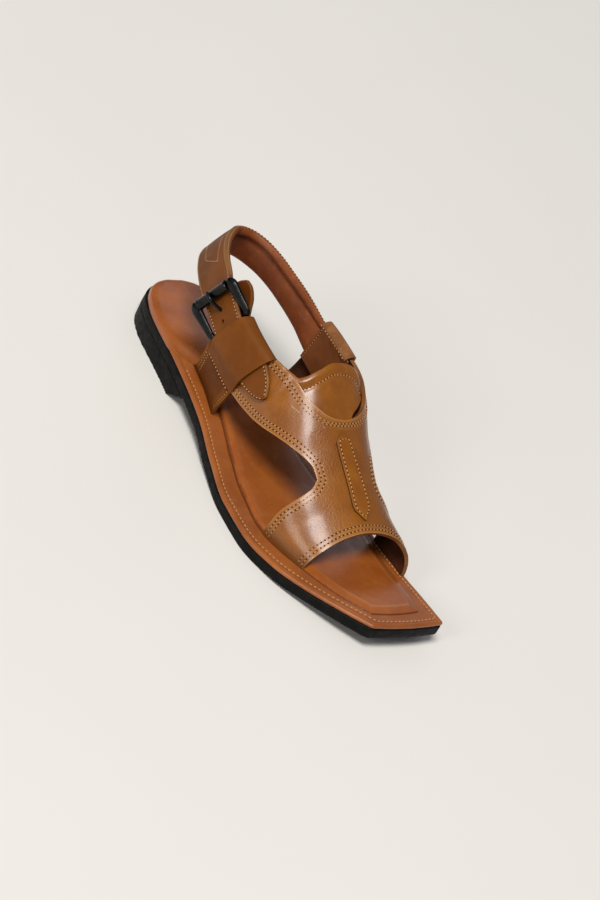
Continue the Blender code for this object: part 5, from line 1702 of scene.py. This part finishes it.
def make_prong():
    """The prong, hooked round the pivot bar, through the strap and over the roller."""
    hook = BAR_RADIUS * PIVOT_BAR_SHARE + GAP + PRONG_RADIUS
    turns = [math.radians(angle) for angle in PRONG_HOOK_ANGLES]
    knots = [(BUCKLE[4] + hook * math.cos(a), 0.0, hook * math.sin(a)) for a in turns] + PRONG_REACH
    path = catmull(np.array(knots), np.linspace(0, len(knots) - 1, PRONG_RINGS))
    radii = np.interp(np.linspace(0, 1, PRONG_RINGS), *zip(*PRONG_TAPER))
    buckle_part("buckle_pin", *tube(path, radii, 18), "buckle_prong")


# ---------------------------------------------------------------- camera, light and floor

# Angles in degrees and lengths in millimetres; the focal length is in pixels of the picture's height.
VIEW_AZIMUTH = 129.64
VIEW_ELEVATION = 32.38
VIEW_ROLL = 32.72
VIEW_DISTANCE = 1958.0
VIEW_AIM = (0.0, 145.0, 30.0)
VIEW_PAN = (-8.97, 10.17)
IMAGE_HEIGHT = 900
FOCAL_PIXELS = 3315.0
SENSOR = 36.0

# Lights and floor, in degrees, metres and watts.
LIGHT_AIM_HEIGHT = 0.04
LIGHTS = table("name azimuth elevation distance size power colour", [
    ("key", 118, 59, 8.0, (3.0, 2.6), 520, (1.0, 0.98, 0.95)),
    ("low_key", 104, 25, 8.0, (1.8, 2.2), 110, (1.0, 0.98, 0.95)),
    ("back_panel", -48, 32, 4.0, (1.7, 1.3), 4.8, (0.97, 0.91, 0.96)),
])
SKY_COLOUR, SKY_STRENGTH = (0.93, 0.94, 1.0, 1), 0.2
FLOOR_HALF = 6.0
PAPER_DEEP, PAPER_BASE = (0.872, 0.85, 0.8), (0.887, 0.865, 0.815)


def direction(azimuth, elevation):
    """Unit vector from the shoe towards a place, by its angles in degrees."""
    a, e = math.radians(azimuth), math.radians(elevation)
    return Vector((math.sin(a) * math.cos(e), -math.cos(a) * math.cos(e), math.sin(e)))


def view_axes():
    roll = math.radians(VIEW_ROLL)
    back = direction(VIEW_AZIMUTH, VIEW_ELEVATION)
    right = Vector((0, 0, 1)).cross(back).normalized()
    up = back.cross(right)
    rolled = right * math.cos(roll) + up * math.sin(roll)
    return rolled, up * math.cos(roll) - right * math.sin(roll), back


def make_camera():
    right, up, back = view_axes()
    data = bpy.data.cameras.new("camera")
    data.sensor_width = SENSOR
    data.lens = FOCAL_PIXELS * SENSOR / IMAGE_HEIGHT
    data.clip_start, data.clip_end = 0.1, 20
    camera = put("camera", data)
    aim = Vector(VIEW_AIM) + Vector(SHIFT)
    place = aim + back * VIEW_DISTANCE - right * VIEW_PAN[0] - up * VIEW_PAN[1]
    camera.matrix_world = Matrix.Translation(place * MM) @ Matrix((right, up, back)).transposed().to_4x4()
    bpy.context.scene.camera = camera


def soft_box(row):
    """An area light that faces the shoe."""
    data = bpy.data.lights.new(row.name, "AREA")
    data.shape = "RECTANGLE"
    data.size, data.size_y = row.size
    data.energy = row.power
    data.color = row.colour
    light = put(row.name, data)
    back = direction(row.azimuth, row.elevation)
    light.location = back * row.distance + Vector((0, 0, LIGHT_AIM_HEIGHT))
    light.rotation_mode = "QUATERNION"
    light.rotation_quaternion = back.to_track_quat("Z", "Y")


def make_studio():
    mesh = bpy.data.meshes.new("floor")
    corners = [(x * FLOOR_HALF, y * FLOOR_HALF, 0) for x, y in ((-1, -1), (1, -1), (1, 1), (-1, 1))]
    mesh.from_pydata(corners, [], [(0, 1, 2, 3)])
    floor = put("floor", mesh)
    shade = Shade("floor_paper", Roughness=0.9)
    shade.set("Base Color", shade.mix(shade.ramp(shade.noise(300, 2.0), 0.3, 0.7), PAPER_DEEP, PAPER_BASE))
    mesh.materials.append(shade.material)
    world = bpy.data.worlds.new("studio")
    world.use_nodes = True
    sky = world.node_tree.nodes["Background"]
    sky.inputs["Color"].default_value = SKY_COLOUR
    sky.inputs["Strength"].default_value = SKY_STRENGTH
    bpy.context.scene.world = world
    bpy.context.scene.view_settings.view_transform = "Standard"
    for row in LIGHTS:
        soft_box(row)


# ---------------------------------------------------------------- the whole scene

make_sole()
make_footbed()
make_upper()
make_strip()
make_tongue()
make_strap()
make_keeper("strap_keeper", LATERAL, plain_leather, "keeper")
make_keeper("medial_wrap", MEDIAL, wrap_suede, "medial_keeper")
make_keeper_stitches()
make_medial_panel()
make_frame()
make_roller()
make_prong()
make_camera()
make_studio()
